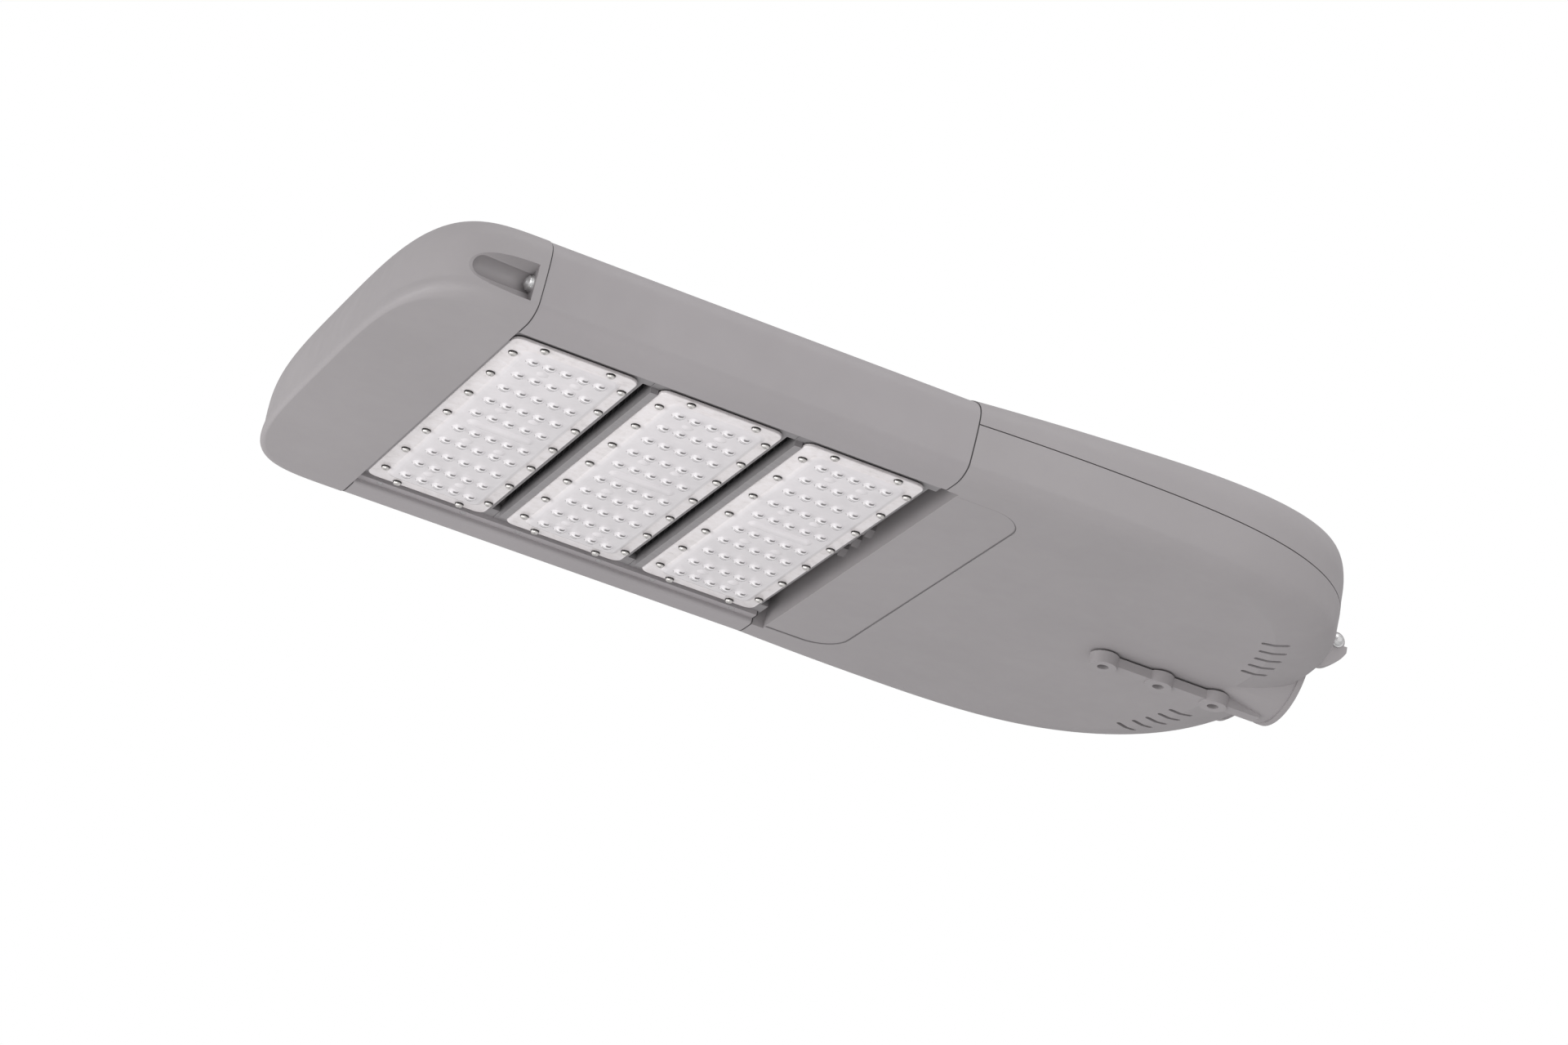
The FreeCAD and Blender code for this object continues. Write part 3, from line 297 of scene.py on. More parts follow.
def by_height(material, place, low, high):
    """Zero below the low level, one above the high one."""
    node = material.node_tree.nodes.new("ShaderNodeMapRange")
    node.inputs["From Min"].default_value = low
    node.inputs["From Max"].default_value = high
    material.node_tree.links.new(level_of(material, place), node.inputs["Value"])
    return node.outputs["Result"]


def mixed(material, share, first, second):
    """Mixes two colours, or outputs of colour, by a share."""
    node = material.node_tree.nodes.new("ShaderNodeMix")
    node.data_type = "RGBA"
    material.node_tree.links.new(share, node.inputs["Factor"])
    for socket, colour in ((node.inputs[6], first), (node.inputs[7], second)):
        if isinstance(colour, tuple):
            socket.default_value = (*colour, 1.0)
        else:
            material.node_tree.links.new(colour, socket)
    return node.outputs[2]


def band(material, value, centre, half, soft):
    """One inside a band of a value, nought outside it, with soft sides."""
    nodes, links = material.node_tree.nodes, material.node_tree.links
    away = nodes.new("ShaderNodeMath")
    away.operation = "SUBTRACT"
    away.inputs[1].default_value = centre
    size = nodes.new("ShaderNodeMath")
    size.operation = "ABSOLUTE"
    edge = nodes.new("ShaderNodeMapRange")
    edge.inputs["From Min"].default_value = half + soft
    edge.inputs["From Max"].default_value = half
    links.new(value, away.inputs[0])
    links.new(away.outputs["Value"], size.inputs[0])
    links.new(size.outputs["Value"], edge.inputs["Value"])
    return edge.outputs["Result"]


def both(material, first, second):
    """The product of two shares."""
    node = material.node_tree.nodes.new("ShaderNodeMath")
    node.operation = "MULTIPLY"
    material.node_tree.links.new(first, node.inputs[0])
    material.node_tree.links.new(second, node.inputs[1])
    return node.outputs["Value"]


def screw_steel_painted_shade(colour):
    """Plated pan heads: bright crowns, with painted shade and a painted dark reflection on the sides and in the cross
    recesses.
    """
    material, shader, place = new_material("screw_steel_painted_shade", colour, 0.3, 0.75)
    links = material.node_tree.links
    crown_level, painted_shade_level = PLATE_FACE - 1.45 * MM, PLATE_FACE - 0.9 * MM
    # Painted shade and painted dark reflection: near-black over the heads' sides and in their recesses, from near the
    # crown up to the plate.
    side = by_height(material, place, crown_level, painted_shade_level)
    marks = noise(material, place, 800.0)
    crown = ramp(material, marks, [(0.35, tinted(colour, 0.8)), (0.65, tinted(colour, 1.2))])
    links.new(mixed(material, side, crown, (0.05, 0.047, 0.047)), shader.inputs["Base Color"])
    add_bump(material, shader, marks, 0.15, 0.00005)
    return material


def anodised(colour):
    """Finned aluminium with faint lines along it: grey at its face and fin tips, with painted shade darkening the fins
    in between.
    """
    material, shader, place = new_material("anodised_painted_shade", colour, 0.5, 0.1)
    links = material.node_tree.links
    stretch = material.node_tree.nodes.new("ShaderNodeMapping")
    stretch.inputs["Scale"].default_value = (0.04, 1.0, 1.0)
    links.new(place, stretch.inputs["Vector"])
    lines = noise(material, stretch.outputs["Vector"], 900.0, 2.0)
    face = ramp(material, lines, [(0.3, tinted(colour, 0.92)), (0.7, tinted(colour, 1.08))])
    # Painted shade: a band of height between the face and the fin tips goes near-black, where shade falls between the
    # fins.
    fin_middle, fin_half, fade = -14.0 * MM, 9.0 * MM, 5.0 * MM
    depth = band(material, level_of(material, place), fin_middle, fin_half, fade)
    links.new(mixed(material, depth, face, (0.05, 0.048, 0.05)), shader.inputs["Base Color"])
    add_bump(material, shader, lines, 0.15, 0.00005)
    return material


def moulded_plate(colour):
    """Milky moulded optic on its white board: pale clouds, and a warm dusty tone on the flange."""
    material, shader, place = new_material("lens_plate_optic", colour, 0.26)
    links = material.node_tree.links
    clouds = noise(material, place, 38.0, 5.0, 0.65)
    pale, light = tinted(colour, 0.93), tinted(colour, 1.06)
    field = ramp(material, clouds, [(0.3, pale), (0.5, colour), (0.7, light)])
    dust = noise(material, place, 150.0, 6.0, 0.7)
    red, green, blue = colour
    warm = (red * 1.06, green * 1.045, blue * 1.025)
    flange = ramp(material, dust, [(0.3, tinted(warm, 0.86)), (0.45, warm), (0.7, tinted(colour, 1.15))])
    rise = by_height(material, place, PLATE_FACE - 0.75 * MM, PLATE_FACE - 0.1 * MM)
    links.new(mixed(material, rise, field, flange), shader.inputs["Base Color"])
    shader.inputs["Coat Weight"].default_value = 0.5
    shader.inputs["Coat Roughness"].default_value = 0.06
    add_bump(material, shader, noise(material, place, 210.0, 3.0), 0.2, 0.0003)
    return material


def optic_dome():
    """Glossy domes: a painted highlight in a crescent near the far rim, painted shade at the far rim, and the inner
    optic's grooves shown as painted highlights and painted shade in lines across.
    """
    white, bright = (0.80, 0.775, 0.79), (0.95, 0.93, 0.94)
    pale, grey, dark = (0.5, 0.48, 0.49), (0.36, 0.35, 0.355), (0.20, 0.19, 0.195)
    # Painted light lines across each dome: (level across, half height, middle along, half length, shade); the bright
    # one is a painted highlight, the others painted shade.
    painted_light_strokes = ((0.60, 0.035, 0.48, 0.24, grey), (0.45, 0.03, 0.5, 0.28, pale),
               (0.32, 0.03, 0.5, 0.26, bright), (0.21, 0.04, 0.56, 0.14, dark))
    material, shader, place = new_material("lens_dome_painted_light", white, 0.16)
    nodes, links = material.node_tree.nodes, material.node_tree.links
    spot = nodes.new("ShaderNodeUVMap")
    spot.uv_map = "dome"
    split = nodes.new("ShaderNodeSeparateXYZ")
    links.new(spot.outputs["UV"], split.inputs["Vector"])
    across, along = split.outputs["Y"], split.outputs["X"]
    distance = nodes.new("ShaderNodeVectorMath")
    distance.operation = "DISTANCE"
    distance.inputs[1].default_value = (0.5, 0.5, 0.0)
    links.new(spot.outputs["UV"], distance.inputs[0])
    radius = distance.outputs["Value"]
    # Painted highlight and painted shade on the far side: a bright crescent inside the rim and a grey band at the rim.
    far_side = band(material, across, 1.0, 0.36, 0.12)
    painted_highlight = both(material, band(material, radius, 0.34, 0.03, 0.05), far_side)
    rim = both(material, band(material, radius, 0.47, 0.04, 0.04), far_side)
    tone = mixed(material, painted_highlight, white, bright)
    tone = mixed(material, rim, tone, grey)
    for level, half, middle, reach, shade in painted_light_strokes:
        height = band(material, across, level, half, 0.04)
        length = band(material, along, middle, reach, 0.08)
        tone = mixed(material, both(material, height, length), tone, shade)
    links.new(tone, shader.inputs["Base Color"])
    shader.inputs["Coat Weight"].default_value = 0.5
    shader.inputs["Coat Roughness"].default_value = 0.05
    add_bump(material, shader, noise(material, place, 380.0, 1.0), 0.12, 0.0002)
    return material


def plain_finish(name, colour, roughness, metallic=0.0):
    """Small pieces: a tone that varies a little, and a fine grain."""
    material, shader, place = new_material(name, colour, roughness, metallic)
    tone = noise(material, place, 45.0)
    material.node_tree.links.new(
        ramp(material, tone, [(0.3, tinted(colour, 0.9)), (0.7, tinted(colour, 1.1))]),
        shader.inputs["Base Color"])
    add_bump(material, shader, noise(material, place, 700.0, 2.0), 0.15, 0.0001)
    return material


def floor_paint(colour):
    """Matt studio floor, even in tone."""
    material, shader, place = new_material("floor_paint", colour, 0.85)
    tone = noise(material, place, 1.2, 2.0)
    paint = ramp(material, tone, [(0.3, tinted(colour, 0.99)), (0.7, tinted(colour, 1.01))])
    material.node_tree.links.new(paint, shader.inputs["Base Color"])
    return material


PLAIN_FINISHES = {
    # Painted shade in the joints between the rails and the castings.
    "joint_shade": ((0.05, 0.047, 0.048), 0.7, 0.0),
    # Painted shade in the corner of the pad's step.
    "line_shade": ((0.15, 0.143, 0.146), 0.7, 0.0),
    "black_moulding": ((0.03, 0.03, 0.032), 0.45, 0.0),
    "white_moulding": ((0.72, 0.71, 0.68), 0.4, 0.0),
    "zinc_sheet": ((0.55, 0.55, 0.54), 0.35, 0.9),
    "driver_case": ((0.6, 0.6, 0.59), 0.3, 0.8),
    "board_mask": ((0.82, 0.81, 0.80), 0.35, 0.0),
    "silicone_seal": ((0.35, 0.33, 0.32), 0.5, 0.0),
}


def finish(name):
    """The named material, made on first use."""
    if name in bpy.data.materials:
        return bpy.data.materials[name]
    if name in PLAIN_FINISHES:
        return plain_finish(name, *PLAIN_FINISHES[name])
    colours = bpy.context.scene.lamp_colours
    if name == "casting_coat":
        return powder_coat(name, tuple(colours.casting))
    if name == "rail_coat":
        return powder_coat(name, tuple(colours.rail))
    if name == "gland_coat":
        return powder_coat(name, tinted(tuple(colours.casting), 0.72))
    if name == "bright_steel":
        return bright_steel(tuple(colours.steel))
    if name == "screw_steel_painted_shade":
        return screw_steel_painted_shade(tuple(colours.steel))
    if name == "anodised_painted_shade":
        return anodised(tuple(colours.sink))
    if name == "lens_plate_optic":
        return moulded_plate(tuple(colours.plate))
    if name == "lens_dome_painted_light":
        return optic_dome()
    if name == "black_rubber":
        return plain_finish(name, tuple(colours.rubber), 0.6)
    raise KeyError(name)


# Pieces

def coated(node, material):
    """Gives a CAD node its finish."""
    target = frame["nodes"][node]
    target.data.materials.clear()
    target.data.materials.append(finish(material))


def finished_piece(bm, name, material, slot, nodes, angle=None):
    """An object from a bmesh whose faces are first turned outwards."""
    bmesh.ops.recalc_face_normals(bm, faces=bm.faces)
    return object_from(bm, name, material, slot, nodes, angle)


def object_from(bm, name, material, slot, nodes, angle=None):
    """Turns a bmesh into a finished object that rides on the lamp and stands for its CAD nodes."""
    for face in bm.faces:
        face.smooth = True
    if angle is not None:
        for edge in bm.edges:
            if len(edge.link_faces) == 2 and edge.calc_face_angle(0.0) > angle:
                edge.smooth = False
    mesh = bpy.data.meshes.new(name)
    bm.to_mesh(mesh)
    bm.free()
    mesh.materials.append(finish(material))
    piece = bpy.data.objects.new(name, mesh)
    bpy.context.scene.collection.objects.link(piece)
    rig.ride(piece, BODY)
    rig.slot(piece, slot)
    if nodes:
        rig.replaces(piece, *nodes)
    return piece


def smooth_copy(node, name, material, slot):
    """A merged copy of a CAD node with its curved faces shaded smooth."""
    bm = bmesh.new()
    bm.from_mesh(frame["nodes"][node].data)
    bmesh.ops.remove_doubles(bm, verts=bm.verts, dist=MERGE)
    angle = bpy.context.scene.lamp_sizes.sharp_angle
    piece = object_from(bm, name, material, slot, [node], angle)
    weighted = piece.modifiers.new("even shading", "WEIGHTED_NORMAL")
    weighted.keep_sharp = True
    weighted.weight = 70


def moved(bm, verts, offset):
    """Shifts vertices by an offset."""
    bmesh.ops.translate(bm, verts=verts, vec=Vector(offset))


def spun_profile(bm, points, steps, centre):
    """Spins a profile of (radius, height) points about a vertical axis. Returns the new vertices."""
    before = set(bm.verts)
    profile = [bm.verts.new(Vector(centre) + Vector((radius, 0.0, height))) for radius, height in points]
    edges = [bm.edges.new(pair) for pair in zip(profile, profile[1:])]
    bmesh.ops.spin(bm, geom=profile + edges, cent=Vector(centre), axis=(0.0, 0.0, 1.0),
                   angle=2 * math.pi, steps=steps, use_merge=True)
    new = [vertex for vertex in bm.verts if vertex not in before]
    bmesh.ops.remove_doubles(bm, verts=new, dist=FINE_MERGE)
    return [vertex for vertex in bm.verts if vertex not in before]


def rounded_block(bm, low, high, corner, edge):
    """A plate with round corners and softly bevelled edges."""
    made = bmesh.ops.create_cube(bm, size=1.0)["verts"]
    size = [h - l for l, h in zip(low, high)]
    centre = [(l + h) / 2 for l, h in zip(low, high)]
    bmesh.ops.scale(bm, verts=made, vec=size)
    moved(bm, made, centre)
    upright = [e for e in {e for v in made for e in v.link_edges}
               if abs(e.verts[0].co.z - e.verts[1].co.z) > 0.5 * size[2]]
    cut = bmesh.ops.bevel(bm, geom=upright, offset=corner, offset_type="OFFSET", segments=4,
                          affect="EDGES", profile=0.5, material=-1)
    faces = {f for v in cut["verts"] for f in v.link_faces}
    flat = [f for f in faces if abs(f.normal.z) > 0.9]
    rim = [e for f in flat for e in f.edges]
    bmesh.ops.bevel(bm, geom=rim, offset=edge, offset_type="OFFSET", segments=3,
                    affect="EDGES", profile=0.5, material=-1)


def soft_mound(bm, centre, size, corner, height, slope):
    """A low raised area with round corners, whose sides lean in over the slope."""
    made = bmesh.ops.create_grid(bm, x_segments=1, y_segments=1, size=0.5)["verts"]
    bmesh.ops.scale(bm, verts=made, vec=(size[0], size[1], 1.0))
    moved(bm, made, centre)
    round_off = bmesh.ops.bevel(bm, geom=made, offset=corner, offset_type="OFFSET", segments=6,
                                affect="VERTICES", profile=0.5, material=-1)
    top = list({f for v in round_off["verts"] for f in v.link_faces})
    for share, depth in ((0.3, 0.3), (0.4, 0.5), (0.3, 0.2)):
        bmesh.ops.inset_region(bm, faces=top, thickness=slope * share, depth=0.0, use_boundary=True)
        moved(bm, list({v for f in top for v in f.verts}), (0.0, 0.0, height * depth))


def module_middle(number):
    """Where the middle of a module's screws is along the lamp."""
    low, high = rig.box("lens_screws_" + number)
    return (low[0] + high[0]) / 2


def pan_head(bm, centre, radius, height, recess):
    """A pan head with a cross recess. The head hangs down from its seat at the centre."""
    head = bmesh.new()
    steps = 24
    quarter = steps // 4
    crown = 0.35 * radius
    points = [(0.0, -height), (crown, -height * 0.985), (0.72 * radius, -height * 0.86),
              (0.93 * radius, -height * 0.55), (radius, -height * 0.2), (radius, 0.0), (0.0, 0.0)]
    spun_profile(head, points, steps, (0.0, 0.0, 0.0))
    bmesh.ops.recalc_face_normals(head, faces=head.faces)
    wedges = []
    for face in head.faces:
        middle = face.calc_center_median()
        slice_number = round(math.atan2(middle.y, middle.x) / math.tau * steps - 0.5)
        if middle.z < -height * 0.97 and slice_number % quarter in (0, quarter - 1):
            wedges.append(face)
    pressed = bmesh.ops.extrude_face_region(head, geom=wedges)
    moved(head, [g for g in pressed["geom"] if isinstance(g, bmesh.types.BMVert)], (0.0, 0.0, recess))
    bmesh.ops.delete(head, geom=wedges, context="FACES")
    moved(head, head.verts, centre)
    mesh = bpy.data.meshes.new("head")
    head.to_mesh(mesh)
    head.free()
    bm.from_mesh(mesh)
    bpy.data.meshes.remove(mesh)


class LAMP_OT_castings(bpy.types.Operator):
    """Nose cap, driver housing and driver cover in satin powder coat"""

    bl_idname = "lamp.castings"
    bl_label = "Castings"

    pad_x, pad_length, pad_half, pad_corner = -318.0 * MM, 52.5 * MM, 147.0 * MM, 25.0 * MM
    pad_level, line_width, line_height = -33.9 * MM, 0.9 * MM, 0.25 * MM

    def execute(self, context):
        for node in ("nose_cap", "driver_housing", "driver_cover"):
            smooth_copy(node, node + "_casting", "casting_coat", "cast_grey")
        self.pad_line()
        return {"FINISHED"}

    def pad_line(self):
        """A strip of painted shade round the shallow pad under the box, in the corner of its step."""
        bm = bmesh.new()
        made = bmesh.ops.create_grid(bm, x_segments=1, y_segments=1, size=0.5)["verts"]
        bmesh.ops.scale(bm, verts=made, vec=(2 * self.pad_length, 2 * self.pad_half, 1.0))
        moved(bm, made, (self.pad_x, 0.0, self.pad_level))
        bmesh.ops.bevel(bm, geom=made, offset=self.pad_corner, offset_type="OFFSET", segments=16,
                        affect="VERTICES", profile=0.5, material=-1)
        inner = list(bm.faces)
        bmesh.ops.inset_region(bm, faces=inner, thickness=self.line_width, depth=0.0, use_boundary=True)
        bmesh.ops.delete(bm, geom=inner, context="FACES")
        everything = list(bm.verts) + list(bm.edges) + list(bm.faces)
        bmesh.ops.bisect_plane(bm, geom=everything, plane_co=(self.pad_x + self.line_width, 0.0, 0.0),
                               plane_no=(-1.0, 0.0, 0.0), clear_outer=True)
        raised = bmesh.ops.extrude_face_region(bm, geom=list(bm.faces))
        lower = [g for g in raised["geom"] if isinstance(g, bmesh.types.BMVert)]
        moved(bm, lower, (0.0, 0.0, -self.line_height))
        finished_piece(bm, "pad_line", "line_shade", "cast_grey", [])


class LAMP_OT_rails(bpy.types.Operator):
    """The two extruded side rails"""

    bl_idname = "lamp.rails"
    bl_label = "Side rails"

    joint_gap, line_width, proud, near = 0.3 * MM, 0.5 * MM, 0.04 * MM, 0.01 * MM

    def end_edges(self, rail, end):
        """The edges round one end of the rail, and which way its walls face at each of their points."""
        edges, outward = [], {}
        for edge in rail.edges:
            walls = [face for face in edge.link_faces if abs(face.normal.x) < 0.5]
            if len(walls) == 1 and all(abs(vertex.co.x - end) < self.near for vertex in edge.verts):
                edges.append(edge)
                for vertex in edge.verts:
                    outward[vertex] = outward.get(vertex, Vector()) + walls[0].normal
        return edges, outward

    def joint_lines(self, side):
        """Strips of painted shade in the joints where the rail's ends meet the castings."""
        rail = bmesh.new()
        rail.from_mesh(frame["nodes"]["rail_" + side].data)
        bmesh.ops.remove_doubles(rail, verts=rail.verts, dist=MERGE)
        low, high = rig.box("rail_" + side)
        bm = bmesh.new()
        for end, way in ((low[0], -1.0), (high[0], 1.0)):
            edges, outward = self.end_edges(rail, end)
            into_gap = Vector((way * self.joint_gap, 0.0, 0.0))
            copies = {vertex: bm.verts.new(vertex.co + into_gap + lean.normalized() * self.proud)
                      for vertex, lean in outward.items()}
            line = [bm.edges.new([copies[vertex] for vertex in edge.verts]) for edge in edges]
            drawn = bmesh.ops.extrude_edge_only(bm, edges=line)
            ends = [g for g in drawn["geom"] if isinstance(g, bmesh.types.BMVert)]
            moved(bm, ends, (-way * (self.joint_gap + self.line_width), 0.0, 0.0))
        rail.free()
        bmesh.ops.recalc_face_normals(bm, faces=bm.faces)
        bmesh.ops.solidify(bm, geom=list(bm.faces), thickness=self.proud / 2)
        finished_piece(bm, "rail_joint_lines_" + side, "joint_shade", "rail_grey", [])

    def execute(self, context):
        for side in ("left", "right"):
            smooth_copy("rail_" + side, "side_rail_" + side, "rail_coat", "rail_grey")
            self.joint_lines(side)
        return {"FINISHED"}


class LAMP_OT_lens_plates(bpy.types.Operator):
    """The moulded lens plates with their domes and low bulges"""

    bl_idname = "lamp.lens_plates"
    bl_label = "Lens plates"

    columns, rows = 5, 5
    pitch_x, pitch_y, middle = 11.4 * MM, 24.4 * MM, 30.8 * MM
    left, right, half, corner = -43.9 * MM, 40.7 * MM, 135.2 * MM, 6.5 * MM
    field_size, field_corner, field_slope = (67.0 * MM, 253.0 * MM), 7.0 * MM, 3.5 * MM
    bar_size, bar_corner, bar_slope, bar_rise = (46.0 * MM, 11.0 * MM), 5.2 * MM, 3.2 * MM, -1.3 * MM
    bulge_steps = (0.62, 3.5)

    def lens_places(self, centre_x):
        """Where the domes stand: rows on both sides of the gap in the plate's middle."""
        for column in range(self.columns):
            x = centre_x + (column - (self.columns - 1) / 2) * self.pitch_x
            for side in (-1, 1):
                for row in range(self.rows):
                    yield x, side * (self.middle / 2 + row * self.pitch_y)

    def plate(self, number, sizes):
        """The flange with its edge, the soft raised field, the long bar bulge and the round bulges."""
        middle = module_middle(number)
        low = (middle + self.left, -self.half, PLATE_FACE)
        high = (middle + self.right, self.half, PLATE_BACK)
        bm = bmesh.new()
        rounded_block(bm, low, high, self.corner, sizes.plate_edge)
        soft_mound(bm, (middle, 0.0, PLATE_FACE), self.field_size, self.field_corner,
                   PLATE_FIELD - PLATE_FACE, self.field_slope)
        soft_mound(bm, (middle, 0.0, PLATE_FIELD), self.bar_size, self.bar_corner,
                   self.bar_rise, self.bar_slope)
        bulge = [(0.0, -0.9 * MM), (1.6 * MM, -0.82 * MM), (3.0 * MM, -0.5 * MM), (4.4 * MM, 0.15 * MM)]
        for x in (-self.pitch_x, self.pitch_x):
            for side in (-1, 1):
                for step in self.bulge_steps:
                    y = side * (self.middle / 2 + step * self.pitch_y)
                    spun_profile(bm, bulge, 20, (middle + x, y, PLATE_FIELD))
        finished_piece(bm, "lens_plate_moulding_" + number, "lens_plate_optic", "clear_lens",
                       ["lens_plate_" + number], sizes.sharp_angle)

    def domes(self, number, sizes):
        """Glossy domes over the LEDs. The map of each one runs from nought to one across its foot."""
        radius, height = sizes.lens_radius, sizes.lens_height
        foot = 1.06 * radius
        profile = [(0.0, -height), (0.48 * radius, -0.88 * height), (0.83 * radius, -0.46 * height),
                   (0.95 * radius, -0.12 * height), (foot, 0.05 * height)]
        bm = bmesh.new()
        spots = bm.loops.layers.uv.new("dome")
        for x, y in self.lens_places(module_middle(number)):
            verts = spun_profile(bm, profile, 14, (x, y, PLATE_FIELD))
            for face in {f for v in verts for f in v.link_faces}:
                for loop in face.loops:
                    place = loop.vert.co
                    loop[spots].uv = ((place.x - x) / (2 * foot) + 0.5, (place.y - y) / (2 * foot) + 0.5)
        finished_piece(bm, "lens_domes_" + number, "lens_dome_painted_light", "clear_lens", [], sizes.sharp_angle)

    def execute(self, context):
        sizes = context.scene.lamp_sizes
        for number in MODULES:
            self.plate(number, sizes)
            self.domes(number, sizes)
        return {"FINISHED"}


class LAMP_OT_lens_screws(bpy.types.Operator):
    """Pan head screws round each lens plate"""

    bl_idname = "lamp.lens_screws"
    bl_label = "Lens screws"

    row_x, pitch_y, per_row = 37.0 * MM, 38.1 * MM, 7
    end_x, end_y = 22.4 * MM, 131.7 * MM
    head_height = 2.2 * MM

    def places(self):
        """Where the heads sit about the module's middle: two long rows, and two at each end."""
        first = -(self.per_row - 1) / 2
        for side in (-1, 1):
            for i in range(self.per_row):
                yield side * self.row_x, (first + i) * self.pitch_y
            for end in (-1, 1):
                yield side * self.end_x, end * self.end_y

    def execute(self, context):
        sizes = context.scene.lamp_sizes
        for number in MODULES:
            bm = bmesh.new()
            for x, y in self.places():
                centre = (module_middle(number) + x, y, PLATE_FACE)
                pan_head(bm, centre, sizes.screw_head_radius, self.head_height, sizes.recess_depth)
            object_from(bm, "lens_screw_heads_" + number, "screw_steel_painted_shade", "bright_steel",
                        ["lens_screws_" + number], sizes.sharp_angle)
        return {"FINISHED"}


class LAMP_OT_body_fasteners(bpy.types.Operator):
    """Screws and washers in the nose pockets and at the tail ears"""

    bl_idname = "lamp.body_fasteners"
    bl_label = "Body fasteners"

    def execute(self, context):
        for node in ("nose_screws", "nose_washers", "cover_screws", "cover_washers"):
            smooth_copy(node, node.replace("_", "_steel_"), "bright_steel", "bright_steel")
        for node in ("module_screws", "housing_screws", "tray_screws", "driver_screws"):
            coated(node, "bright_steel")
        return {"FINISHED"}


class LAMP_OT_modules(bpy.types.Operator):
    """Heat sinks, boards, seals and leads"""

    bl_idname = "lamp.modules"
    bl_label = "Module parts"

    def execute(self, context):
        for number in MODULES:
            coated("heat_sink_" + number, "anodised_painted_shade")
            coated("led_board_" + number, "board_mask")
            coated("lens_gasket_" + number, "silicone_seal")
        for node in ("lead_boots", "module_leads", "cover_gasket", "cable_grommet"):
            coated(node, "black_rubber")
        coated("wall_glands", "gland_coat")
        return {"FINISHED"}


class LAMP_OT_gear(bpy.types.Operator):
    """Tray, driver, surge protector and terminal block in the driver box"""

    bl_idname = "lamp.gear"
    bl_label = "Gear"

    def execute(self, context):
        coated("gear_tray", "zinc_sheet")
        coated("led_driver", "driver_case")
        coated("surge_protector", "black_moulding")
        coated("terminal_block", "white_moulding")
        return {"FINISHED"}


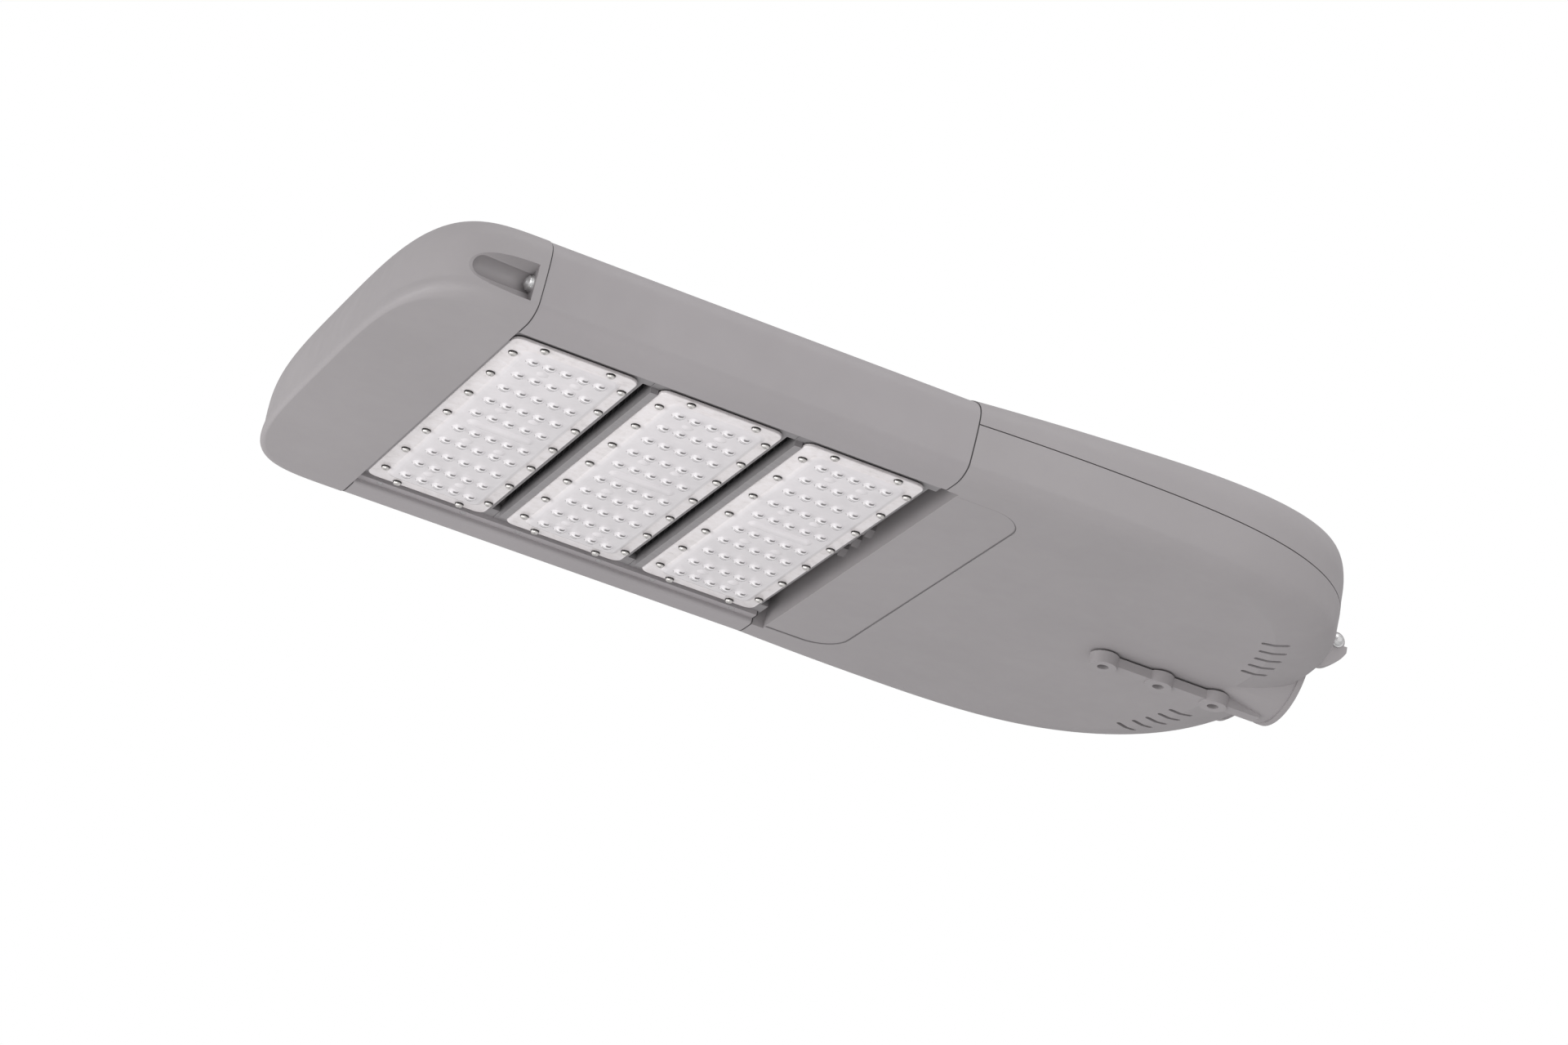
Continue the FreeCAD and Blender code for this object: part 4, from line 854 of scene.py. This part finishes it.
class LAMP_OT_stage(bpy.types.Operator):
    """Floor, soft lights, white surround and the camera"""

    bl_idname = "lamp.stage"
    bl_label = "Stage"

    camera_place = (-1353.02 * MM, -2657.40 * MM, -1254.14 * MM)
    camera_right = (0.89166982, -0.41370496, 0.1837747)
    camera_down = (0.32298267, 0.29695601, -0.89860966)
    camera_forward = (0.31718627, 0.86061916, 0.39840624)
    focal_length, sensor_width = 108.75, 36.0
    floor_level, floor_half = -1750 * MM, 25.0
    lamp_middle = (-0.33, 0.0, 0.0)
    surround_strength = 0.62

    def area(self, name, place, size, power):
        """A soft light that points at the lamp's middle."""
        light = bpy.data.lights.new(name, "AREA")
        light.shape = "RECTANGLE"
        light.size, light.size_y = size
        light.energy = power
        lamp = bpy.data.objects.new(name, light)
        lamp.location = place
        aim = Vector(self.lamp_middle) - Vector(place)
        lamp.rotation_euler = aim.to_track_quat("-Z", "Y").to_euler()
        bpy.context.scene.collection.objects.link(lamp)

    def surround(self, scene):
        """White all round to the camera, and a softer white as light."""
        world = bpy.data.worlds.new("studio")
        scene.world = world
        world.use_nodes = True
        nodes, links = world.node_tree.nodes, world.node_tree.links
        nodes.clear()
        seen = nodes.new("ShaderNodeBackground")
        seen.inputs["Color"].default_value = (1.0, 1.0, 1.0, 1.0)
        lit = nodes.new("ShaderNodeBackground")
        lit.inputs["Color"].default_value = (1.0, 0.99, 1.0, 1.0)
        lit.inputs["Strength"].default_value = self.surround_strength
        path = nodes.new("ShaderNodeLightPath")
        mix = nodes.new("ShaderNodeMixShader")
        output = nodes.new("ShaderNodeOutputWorld")
        links.new(path.outputs["Is Camera Ray"], mix.inputs["Fac"])
        links.new(lit.outputs["Background"], mix.inputs[1])
        links.new(seen.outputs["Background"], mix.inputs[2])
        links.new(mix.outputs["Shader"], output.inputs["Surface"])

    def floor(self, scene):
        """A plain floor far below the lamp, wide enough that no view shows its end."""
        bm = bmesh.new()
        bmesh.ops.create_grid(bm, x_segments=1, y_segments=1, size=self.floor_half)
        moved(bm, bm.verts, (0.0, 0.0, self.floor_level))
        mesh = bpy.data.meshes.new("studio_floor")
        bm.to_mesh(mesh)
        bm.free()
        floor = bpy.data.objects.new("studio_floor", mesh)
        scene.collection.objects.link(floor)
        mesh.materials.append(floor_paint(tuple(scene.lamp_colours.floor)))
        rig.stage(floor)

    def camera(self, scene):
        """Looks up at the lamp from its near side, past the nose."""
        camera = bpy.data.cameras.new("camera")
        camera.lens = self.focal_length
        camera.sensor_width = self.sensor_width
        camera.sensor_fit = "HORIZONTAL"
        camera.clip_end = 50.0
        eye = bpy.data.objects.new("camera", camera)
        right, up = Vector(self.camera_right), -Vector(self.camera_down)
        turn = Matrix((right, up, -Vector(self.camera_forward))).transposed().to_4x4()
        eye.matrix_world = Matrix.Translation(self.camera_place) @ turn
        scene.collection.objects.link(eye)
        scene.camera = eye

    def execute(self, context):
        scene = context.scene
        scene.view_settings.view_transform = "Standard"
        self.surround(scene)
        self.floor(scene)
        self.area("key", (-0.1, -1.6, 0.1), (1.2, 1.2), 7)
        self.area("top", (-0.5, -1.0, 2.2), (2.2, 1.6), 18)
        self.area("front", (-3.2, 0.5, -0.8), (1.6, 1.6), 32)
        self.area("low", (-1.3, -0.6, -1.5), (1.6, 1.2), 9)
        self.camera(scene)
        return {"FINISHED"}


OPERATORS = (LAMP_OT_castings, LAMP_OT_rails, LAMP_OT_lens_plates, LAMP_OT_lens_screws,
             LAMP_OT_body_fasteners, LAMP_OT_modules, LAMP_OT_gear, LAMP_OT_stage)


class LAMP_PT_panel(bpy.types.Panel):
    """Lists the lamp's pieces, sizes and colours."""

    bl_label = "Street light"
    bl_idname = "LAMP_PT_panel"
    bl_space_type = "VIEW_3D"
    bl_region_type = "UI"
    bl_category = "Street light"

    def draw(self, context):
        for operator in OPERATORS:
            self.layout.operator(operator.bl_idname)
        for group in (context.scene.lamp_sizes, context.scene.lamp_colours):
            for name in group.__annotations__:
                self.layout.prop(group, name)


CLASSES = (LampSizes, LampColours) + OPERATORS + (LAMP_PT_panel,)


def register():
    for item in CLASSES:
        bpy.utils.register_class(item)
    bpy.types.Scene.lamp_sizes = bpy.props.PointerProperty(type=LampSizes)
    bpy.types.Scene.lamp_colours = bpy.props.PointerProperty(type=LampColours)


def unregister():
    del bpy.types.Scene.lamp_colours
    del bpy.types.Scene.lamp_sizes
    for item in reversed(CLASSES):
        bpy.utils.unregister_class(item)


def main():
    register()
    bpy.ops.lamp.castings()
    bpy.ops.lamp.rails()
    bpy.ops.lamp.lens_plates()
    bpy.ops.lamp.lens_screws()
    bpy.ops.lamp.body_fasteners()
    bpy.ops.lamp.modules()
    bpy.ops.lamp.gear()
    bpy.ops.lamp.stage()
    boxes = {"cad": [list(corner) for corner in CAD_BOX],
             "visual": [list(corner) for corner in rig.bounds()]}
    with open(SIZE_FILE, "w") as file:
        json.dump(boxes, file)


if __name__ == "__main__":
    main()
